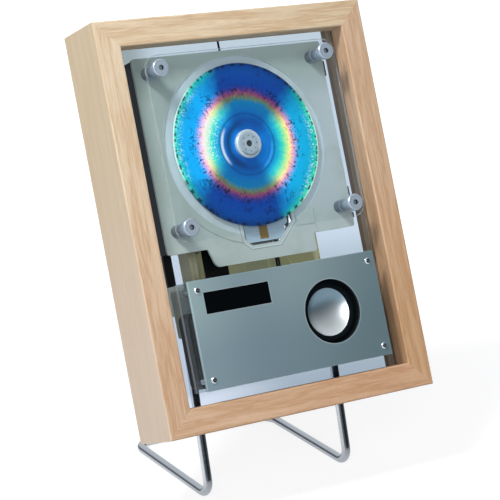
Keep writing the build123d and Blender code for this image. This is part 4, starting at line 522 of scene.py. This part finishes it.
def disc():
    """Mirror-blue disc: rainbow rings that brighten in two opposite fans of painted reflection, with painted
    glints, highlight arcs and a shade ring by the hub, a faint painted glow, and dark flecks.
    """
    m = Material("disc_foil", metal=0.0, spec=0.04, coat=0.06, coat_rough=0.08)
    x, v, _ = m.space()
    y = m.less(v, DISC_HEIGHT)
    r = m.radius(x, v, 0, DISC_HEIGHT)
    turn = m.math("ARCTAN2", y, x)
    soft = m.noise(m.vec(x, y, 5.0), scale=0.05, detail=2.0)
    reflection_fan = m.math("COSINE", m.times(m.less(turn, FAN_TURN), 2.0))
    reflection_fan = m.add(reflection_fan, m.times(m.less(soft, 0.5), FAN_WANDER))
    leftness = m.math("DIVIDE", x, r)
    left, far_left = m.smooth(leftness, *LEFT_SHARE), m.smooth(leftness, *FAR_LEFT_SHARE)
    lower_right = m.less(m.times(x, LOW_RIGHT_COS), m.times(y, LOW_RIGHT_SIN))
    lower_right = m.smooth(m.math("DIVIDE", lower_right, r), *LOW_RIGHT_SHARE)
    grit = m.noise(m.vec(x, y, 9.0), scale=0.75, detail=2.0, rough=0.6)
    glitter_glints = m.add(m.times(m.band(r, *SPARKS_INNER), left), m.times(m.band(r, *SPARKS_OUTER), 0.6))
    glitter_glints = m.times(m.smooth(grit, *SPARK_SHARE), m.smooth(reflection_fan, *FAN_MIDDLE), glitter_glints)
    color = disc_rings(m, r, turn, x, reflection_fan)
    # painted highlights and shade at the hub, the stacking ring, painted glints, a painted highlight bloom,
    # dark flecks and the rim's painted glint
    for zone, shade in (
            (m.times(m.band(r, *HUB_GLINT), far_left, 0.75), srgb(220, 236, 246)),
            (m.times(m.band(r, *HUB_ECHO_GLINT), lower_right, 0.5), srgb(70, 170, 240)),
            (m.times(m.band(r, *HUB_SHADE), left, 0.8), srgb(4, 46, 96)),
            (m.times(m.band(r, *STACKING_RING), 0.55), srgb(2, 52, 112)),
            (glitter_glints, srgb(222, 252, 240)),
            (m.times(m.band(r, *BLOOM_HIGHLIGHT), left, m.smooth(reflection_fan, *FAN_CORE), 0.6), srgb(238, 232, 250)),
            (disc_marks(m, r, turn, x, y), MARK_BLUE),
            (m.times(m.smooth(r, *RIM_GLINT), m.smooth(reflection_fan, *FAN_RIM)), srgb(214, 240, 236))):
        color = m.mix(zone, color, shade)
    # a faint painted glow in the disc's own colour
    m.set(color=color, glow_color=color, glow=0.24, rough=m.mix(grit, (0.3, 0.3, 0.3), (0.45, 0.45, 0.45)))
    m.bump(m.noise(m.vec(x, y, 0.0), scale=0.9, detail=3.0), strength=0.12, depth=0.1)
    return m


CLAMP_RADIUS = 12.0
# the clamp's shades by share of its radius: face, groove, bevelled rim and side
CLAMP_RINGS = [
    (0.0, srgb(186, 206, 216)), (0.62, srgb(168, 188, 202)), (0.70, srgb(192, 212, 222)),
    (0.86, srgb(206, 224, 232)), (0.93, srgb(158, 180, 192))]
DIMPLE_CORE, DIMPLE_REACH = (0.36, 0.50), (7.4, 6.8)
CLAMP_SHADE, CLAMP_LOW = (8.5, 1.2), (-0.35, -0.9)


def clamp_metal():
    """Magnetic clamp: a pale bevelled rim with painted shade low down, round a darker face with small
    dimples painted dark for their shade.
    """
    m = Material("puck_metal", rough=0.4, metal=0.15)
    u, v, _ = m.space()
    r = m.radius(u, v, 0, DISC_HEIGHT)
    turn = m.math("ARCTAN2", m.less(v, DISC_HEIGHT), u)
    face = m.ramp(m.math("DIVIDE", r, CLAMP_RADIUS), CLAMP_RINGS)
    # dimples painted dark for the shade in them
    shaded_pits = m.times(m.smooth(m.cracks(m.vec(u, v, 0.0), 0.42), *DIMPLE_CORE), m.smooth(r, *DIMPLE_REACH))
    shade = m.times(m.band(r, *CLAMP_SHADE), m.smooth(m.math("SINE", turn), *CLAMP_LOW))
    m.set(color=m.mix(m.most(shaded_pits, m.times(shade, 0.8)), face, srgb(52, 68, 82)))
    m.bump(shaded_pits, strength=0.5, depth=0.3)
    return m


dress(disc(), "disc")
dress(clamp_metal(), "disc_clamp")


# ---------------------------------------------------------------- posts, knobs and screws
POST_RING, POST_GROOVE = (5.5, 0.35), (3.4, 0.3)
FOOT_LEVEL, FOOT_FACING, HEAD_LEVEL = (0.0, -6.0), (0.1, 0.8), (6.0, 6.4)
SOCKET_GLINT, POST_SOCKET, SCREW_SOCKET = (0.6, 0.35), (2.0, 1.7), (1.35, 1.1)


def post_metal():
    """Blue-grey anodised posts and knobs: turned rings, painted shade on the foot, and a socket painted
    black for its shade, with a painted glint.
    """
    m = Material("post_metal", rough=0.34, metal=0.35)
    u, v, w = m.space()
    r = m.corner_radius(u, v, POST_SIDE, POST_MIDDLE, POST_RISE)
    base = cloudy(m, srgb(162, 178, 194), 0.05)
    rings = m.add(m.band(r, *POST_RING), m.band(r, *POST_GROOVE))
    base = m.mix(m.times(rings, 0.35), base, srgb(205, 214, 224))
    # painted shade on the left side of the foot
    foot = m.times(m.smooth(w, *FOOT_LEVEL), m.smooth(m.facing(LEFT), *FOOT_FACING))
    base = m.mix(m.times(foot, 0.75), base, srgb(70, 80, 88))
    # socket painted black for the shade in it, with a painted glint at its middle
    socket = m.mix(m.smooth(r, *SOCKET_GLINT), srgb(6, 9, 12), WHITE)
    m.set(color=m.mix(m.times(m.smooth(r, *POST_SOCKET), m.smooth(w, *HEAD_LEVEL)), base, socket))
    marks = m.noise(m.vec(m.times(r, 4.0), m.times(w, 5.0), 0.0), detail=1.0)
    m.bump(marks, strength=0.1, depth=0.08)
    return m


def screw_metal():
    """Zinc screw heads: a socket painted dark for its shade, with a painted glint."""
    m = Material("screw_metal", rough=0.22, metal=1.0)
    u, v, w = m.space()
    r = m.corner_radius(u, v, SCREW_SIDE, SCREW_MIDDLE, SCREW_RISE)
    base = cloudy(m, srgb(206, 214, 220), 0.05)
    # socket painted dark for the shade in it, with a painted glint at its middle
    socket = m.mix(m.smooth(r, *SOCKET_GLINT), srgb(26, 34, 42), srgb(250, 252, 255))
    m.set(color=m.mix(m.smooth(r, *SCREW_SOCKET), base, socket))
    m.bump(m.noise(m.vec(u, v, w), scale=8.0), strength=0.1, depth=0.05)
    return m


dress(post_metal(), "cover_posts", "cover_knob_top_left", "cover_knob_top_right", "cover_knob_bottom_left",
      "cover_knob_bottom_right")
dress(screw_metal(), "faceplate_screws")


# ---------------------------------------------------------------- faceplate and speaker
# painted light across the plate, lighter and greener to the upper left; a darker band crosses its middle
PLATE_SLANT, PLATE_FADE, PLATE_LEFT_HEIGHT = -0.5, (-110, 70), (92, 48)
PLATE_BAND_SLANT, PLATE_BAND = 0.2, (-14, 62)
# painted highlights on the edges of the speaker's hole and the window, and painted shade on the hole's wall
HOLE_EDGE, WINDOW_EDGE = (SPEAKER_HOLE + 0.3, 0.7), (0.2, 0.6)
HOLE_WALL, PLATE_SIDE_FACING = (SPEAKER_HOLE + 1.5, SPEAKER_HOLE + 1.0), (0.8, 0.4)
# the cone's painted shade and highlight: where the change falls, and its direction
CONE_SLOPE, CONE_SHADE_UP, CONE_SHADE_LEFT = (-8, 8), 0.95, 0.22


def faceplate():
    """Bead-blasted aluminium with painted light, greener and lighter to the upper left, painted highlights
    on the edges of its openings and sides, and painted shade on the wall in the speaker's hole."""
    m = Material("faceplate_metal", rough=0.42, metal=0.35)
    u, v, w = m.space()
    across = m.smooth(m.add(u, m.times(v, PLATE_SLANT)), *PLATE_FADE)
    left = m.mix(m.smooth(v, *PLATE_LEFT_HEIGHT), srgb(166, 192, 195), srgb(143, 167, 177))
    base = m.mix(across, left, srgb(108, 132, 141))
    middle = m.band(m.add(u, m.times(v, PLATE_BAND_SLANT)), *PLATE_BAND)
    base = m.mix(m.times(middle, 0.6), base, srgb(122, 145, 158))
    reach = m.radius(u, v, SPEAKER_SIDE, SPEAKER_HEIGHT)
    beyond = m.most(m.less(m.off(u, WINDOW_SIDE), WINDOW_HALF_WIDTH),
                    m.less(m.off(v, WINDOW_HEIGHT), WINDOW_HALF_HEIGHT))
    side = m.smooth(m.math("ABSOLUTE", m.facing(OUT)), *PLATE_SIDE_FACING)
    plate_edge_highlight = m.most(m.band(reach, *HOLE_EDGE), m.band(beyond, *WINDOW_EDGE), side)
    base = m.mix(m.times(plate_edge_highlight, 0.6), base, srgb(190, 206, 212))
    base = m.mix(m.times(side, m.smooth(reach, *HOLE_WALL)), base, srgb(38, 50, 56))
    fleck = m.noise(m.vec(u, v, w), scale=3.0, detail=2.0, rough=0.7)
    m.set(color=m.mix(m.times(fleck, 0.25), base, srgb(84, 104, 112)))
    m.bump(fleck, strength=0.18, depth=0.06)
    return m


def dish_metal():
    """Spun aluminium cone with painted shade to the upper left and a painted highlight to the lower right,
    and a fine circular brushing.
    """
    m = Material("cone_metal", rough=0.3, metal=0.85)
    u, v, _ = m.space()
    r = m.radius(u, v, SPEAKER_SIDE, SPEAKER_HEIGHT)
    shade_to_highlight = m.less(m.times(m.less(v, SPEAKER_HEIGHT), CONE_SHADE_UP),
                   m.times(m.less(u, SPEAKER_SIDE), CONE_SHADE_LEFT))
    m.set(color=m.mix(m.smooth(shade_to_highlight, *CONE_SLOPE), srgb(244, 252, 255), srgb(112, 136, 150)))
    m.bump(m.noise(m.vec(m.times(r, 5.0), 0.0, 0.0), detail=1.0), strength=0.05, depth=0.05)
    return m


def cone_profile():
    """Section of the dished metal cone: a shallow bowl with a thin rolled lip."""
    sphere = (CONE_RADIUS ** 2 + CONE_DEPTH ** 2) / (2 * CONE_DEPTH)
    steps = 24
    bowl = []
    for i in range(steps + 1):
        radius = CONE_RADIUS * i / steps
        rise = sphere - math.sqrt(sphere ** 2 - radius ** 2)
        bowl.append((radius, CONE_LEVEL - CONE_DEPTH + rise))
    lip = [(CONE_RADIUS + LIP_CREST, CONE_LEVEL + LIP_RISE),
           (CONE_RADIUS + LIP_REACH, CONE_LEVEL - LIP_DROP)]
    back = [(radius, level - CONE_SHEET) for radius, level in reversed(bowl)]
    return bowl + lip + back


def surround_profile():
    """Section of the rubber surround: a half roll between the cone and its glued flange."""
    middle, half = (ROLL_INNER + ROLL_OUTER) / 2, (ROLL_OUTER - ROLL_INNER) / 2
    steps = 12
    roll = []
    for i in range(steps + 1):
        swing = math.pi * (1 - i / steps)
        roll.append((middle + half * math.cos(swing), CONE_LEVEL + ROLL_RISE * math.sin(swing)))
    rim, underside = SPEAKER_HOLE - FLANGE_ROOM, CONE_LEVEL - FLANGE_SHEET
    return roll + [(rim, CONE_LEVEL), (rim, underside), (ROLL_INNER, underside)]


def speaker_ring(name, profile, body, material):
    """Closed ring swept from a profile of (radius, level) points about the speaker's axis."""
    segments, weld, sharp = 128, 0.01 * MM, math.radians(40)
    points, faces = [], []
    count = len(profile)
    for step in range(segments):
        turn = math.tau * step / segments
        for radius, level in profile:
            side, height = radius * math.cos(turn), radius * math.sin(turn)
            points.append(at(SPEAKER_SIDE + side, SPEAKER_HEIGHT + height, level))
        for i in range(count):
            here, there = step * count, (step + 1) % segments * count
            j = (i + 1) % count
            faces.append((here + i, there + i, there + j, here + j))
    mesh = bpy.data.meshes.new(name)
    mesh.from_pydata(points, [], faces)
    shell = bmesh.new()
    shell.from_mesh(mesh)
    bmesh.ops.remove_doubles(shell, verts=shell.verts, dist=weld)
    bmesh.ops.recalc_face_normals(shell, faces=shell.faces)
    shell.to_mesh(mesh)
    shell.free()
    mesh.polygons.foreach_set("use_smooth", [True] * len(mesh.polygons))
    mesh.set_sharp_from_angle(angle=sharp)
    mesh.materials.append(material.material)
    piece = bpy.data.objects.new(name, mesh)
    scene.collection.objects.link(piece)
    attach(piece, body)
    return piece


rubber = moulded("surround_rubber", srgb(12, 18, 22), rough=0.6, grain=0.1, spec=0.02)
dress(faceplate(), "faceplate")
cone = speaker_ring("cone_dish", cone_profile(), "cone", dish_metal())
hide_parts("speaker_cone")
roll = speaker_ring("surround_roll", surround_profile(), "player", rubber)
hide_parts("speaker_surround")


# ---------------------------------------------------------------- plastics and metals
GAP_BOTTOM, GAP_TOP, GAP_SIDE, GAP_FACING = (96, 102), (134, 126), (-54, -38), (0.5, 0.9)
# where the rod turns from its uprights to its floor runs, and the facings of its painted reflections
RUN_HEIGHT, RISER_FACING, RUN_LINE = (22, 6), (0.55, 0.95), (0.45, 0.35)


def housing_plastic():
    """Khaki plastic, which glows inside the gap above the faceplate for the light that scatters into it."""
    m = moulded("khaki_plastic", srgb(206, 198, 158), rough=0.5, spec=0.3)
    u, v, _ = m.space()
    gap = m.times(m.smooth(v, *GAP_BOTTOM), m.smooth(v, *GAP_TOP), m.smooth(u, *GAP_SIDE),
                  m.smooth(m.facing(OUT), *GAP_FACING))
    m.set(glow_color=m.mix(gap, BLACK, srgb(146, 140, 106)), glow=0.85)
    return m


def stand_steel():
    """Polished steel rod with painted reflections: dark risers with a pale left edge, and pale floor runs
    with one dark line.
    """
    m = Material("stand_steel", rough=0.2, metal=1.0)
    _, v, w = m.space()
    height = m.add(m.add(m.times(v, LEAN_COS), m.times(w, LEAN_SIN)), FRAME_LIFT)
    riser_reflection = m.mix(m.smooth(m.facing(LEFT), *RISER_FACING), srgb(70, 77, 83), srgb(200, 205, 210))
    run_reflection = m.mix(m.band(m.facing(SKY), *RUN_LINE), srgb(172, 177, 184), srgb(50, 56, 66))
    m.set(color=m.mix(m.smooth(height, *RUN_HEIGHT), riser_reflection, run_reflection))
    tool_marks(m, scale=2.0)
    return m


dress(moulded("black_plastic", srgb(14, 16, 18), rough=0.42, spec=0.15),
      "mechanism_housing", "front_box", "rear_box", "side_bracket", "speaker_basket", "power_switch",
      "audio_jack", "display_module")
dress(moulded("dark_plastic", srgb(52, 58, 64), rough=0.4, spec=0.3),
      "turntable_hub", "rod_holders", "lens_holder", "button_previous", "button_play", "button_next",
      "button_mode", "damper_grommets", "speaker_magnet")
dress(housing_plastic(), "rear_housing", "rear_lid", "rod_sockets")
dress(moulded("sled_plastic", srgb(160, 188, 205), rough=0.4, grain=0.12), "pickup_sled")
dress(moulded("ribbon_black", srgb(10, 14, 14), rough=0.3, grain=0.05, spec=0.2),
      "ribbon_cable", "power_lead", "aerial_lead")
dress(turned("bright_steel", srgb(186, 192, 198)),
      "chassis_screws", "spindle_motor", "guide_rods", "sled_motor", "lead_screw", "faceplate_pillars",
      "housing_screws", "usb_inlet", "chassis_plate")
dress(moulded("window_black", srgb(6, 9, 12), rough=0.3, grain=0.02, spec=0.01), "display_window")
dress(moulded("lens_glass", srgb(90, 110, 200), rough=0.05, grain=0.0), "objective_lens")
dress(moulded("flex_film", srgb(130, 110, 64), rough=0.35, grain=0.05), "sled_flex")
dress(moulded("board_green", srgb(30, 90, 50)), "main_board")
dress(moulded("cell_wrap", srgb(60, 90, 130)), "battery_pack")
dress(stand_steel(), "stand_rod")


# ---------------------------------------------------------------- camera
SENSOR_MM, PICTURE_PIXELS, FOCAL_PIXELS = 36, 500, 1799.32
CLIP_NEAR, CLIP_FAR = 0.05, 20
CAMERA_PLACE = (-661.99, 61.37, 1106.73)
CAMERA_LOOK = aim(0.50008, 0.04627, -0.86474)
PICTURE_RIGHT = aim(0.8544, -0.1894, 0.4839)


def place_camera():
    """Camera at the photograph's viewing angle."""
    data = bpy.data.cameras.new("camera")
    data.sensor_width = SENSOR_MM
    data.lens = FOCAL_PIXELS / PICTURE_PIXELS * SENSOR_MM
    data.clip_start, data.clip_end = CLIP_NEAR, CLIP_FAR
    camera = bpy.data.objects.new("camera", data)
    scene.collection.objects.link(camera)
    scene.camera = camera
    side = (PICTURE_RIGHT - CAMERA_LOOK * PICTURE_RIGHT.dot(CAMERA_LOOK)).normalized()
    turn = Matrix((side, side.cross(CAMERA_LOOK), -CAMERA_LOOK)).transposed()
    camera.matrix_world = Matrix.Translation(at(*CAMERA_PLACE)) @ turn.to_4x4()


place_camera()


# ---------------------------------------------------------------- floor, room and lamps, in metres
FLOOR_HALF, FLOOR_DROP = 3, 0.0002
FLOOR_COLOR = (0.30, 0.30, 0.31)
NEAR_WHITE, FAR_WHITE, WHITE_REACH = 0.80, 1.0, (0.25, 0.8)
ROOM_COLOR, ROOM_LIGHT = (0.93, 0.95, 1.0), 0.36
MIRROR_COLOR = (0.95, 0.98, 1.0)
DIM_SIDE = Vector((0.466, -0.879, 0.103))     # the studio's dark side, as mirrors see it
DIM_CORE, DIM_LIGHT = 0.85, 0.2
LAMP_TARGET = at(0, 150, 0)


def floor_paint():
    """Pale floor that reads as white to the camera, in mirrors and through clear pieces."""
    m = Material("floor_white", color=FLOOR_COLOR, rough=0.9)
    paths = m.node("ShaderNodeLightPath").outputs
    seen = m.most(paths["Is Camera Ray"], paths["Is Glossy Ray"], paths["Is Transmission Ray"])
    place = m.node("ShaderNodeTexCoord").outputs["Object"]
    away = m.node("ShaderNodeVectorMath", {0: place}, operation="LENGTH").outputs["Value"]
    lift = m.add(NEAR_WHITE, m.times(m.smooth(away, *WHITE_REACH), FAR_WHITE - NEAR_WHITE))
    glow = m.node("ShaderNodeEmission", {"Color": WHITE, "Strength": m.times(seen, lift)}).outputs[0]
    both = m.node("ShaderNodeAddShader", {0: m.bsdf.outputs[0], 1: glow}).outputs[0]
    m.plug(m.surface, both)
    return m


def lay_floor():
    """Square floor a hair below the stand."""
    mesh = bpy.data.meshes.new("floor")
    corners = [(-FLOOR_HALF, -FLOOR_HALF, 0), (FLOOR_HALF, -FLOOR_HALF, 0),
               (FLOOR_HALF, FLOOR_HALF, 0), (-FLOOR_HALF, FLOOR_HALF, 0)]
    mesh.from_pydata(corners, [], [(0, 1, 2, 3)])
    mesh.materials.append(floor_paint().material)
    floor = bpy.data.objects.new("floor", mesh)
    floor.location.z = -FLOOR_DROP
    scene.collection.objects.link(floor)


def light_room():
    """Soft even room light; white to the camera, and white but for one dark side to mirrors."""
    world = bpy.data.worlds.new("world")
    scene.world = world
    world.use_nodes = True
    world.node_tree.nodes.clear()
    sky = Tree(world.node_tree)
    output = sky.node("ShaderNodeOutputWorld")
    paths = sky.node("ShaderNodeLightPath").outputs
    toward = sky.dot(sky.node("ShaderNodeTexCoord").outputs["Generated"], DIM_SIDE)
    studio = sky.node("ShaderNodeMapRange", {"Value": toward, "From Min": 0.0, "From Max": DIM_CORE,
                                             "To Min": 1.0, "To Max": DIM_LIGHT}).outputs[0]

    def shine(color, strength):
        return sky.node("ShaderNodeBackground", {"Color": color, "Strength": strength}).outputs[0]

    seen = sky.most(paths["Is Camera Ray"], paths["Is Transmission Ray"])
    unseen = sky.blend_shader(paths["Is Glossy Ray"], shine(ROOM_COLOR, ROOM_LIGHT),
                              shine(MIRROR_COLOR, studio))
    sky.plug(output.inputs["Surface"], sky.blend_shader(seen, unseen, shine(WHITE, 1.0)))


def lamp(name, direction, away, size, power, color=WHITE):
    """Square soft lamp that shines on the middle of the frame from a direction."""
    data = bpy.data.lights.new(name, "AREA")
    data.shape = "SQUARE"
    data.size = size
    data.energy = power
    data.color = color
    holder = bpy.data.objects.new(name, data)
    scene.collection.objects.link(holder)
    holder.location = LAMP_TARGET + direction * away
    holder.rotation_mode = "QUATERNION"
    holder.rotation_quaternion = (-direction).to_track_quat("-Z", "Y")
    holder.visible_camera = False


lay_floor()
light_room()
lamp("key", aim(-0.58, 0.69, 0.43), away=1.6, size=0.3, power=20.5, color=(1.0, 0.98, 0.95))
lamp("front", aim(-0.45, 0.03, 0.89), away=1.8, size=1.0, power=13.5)
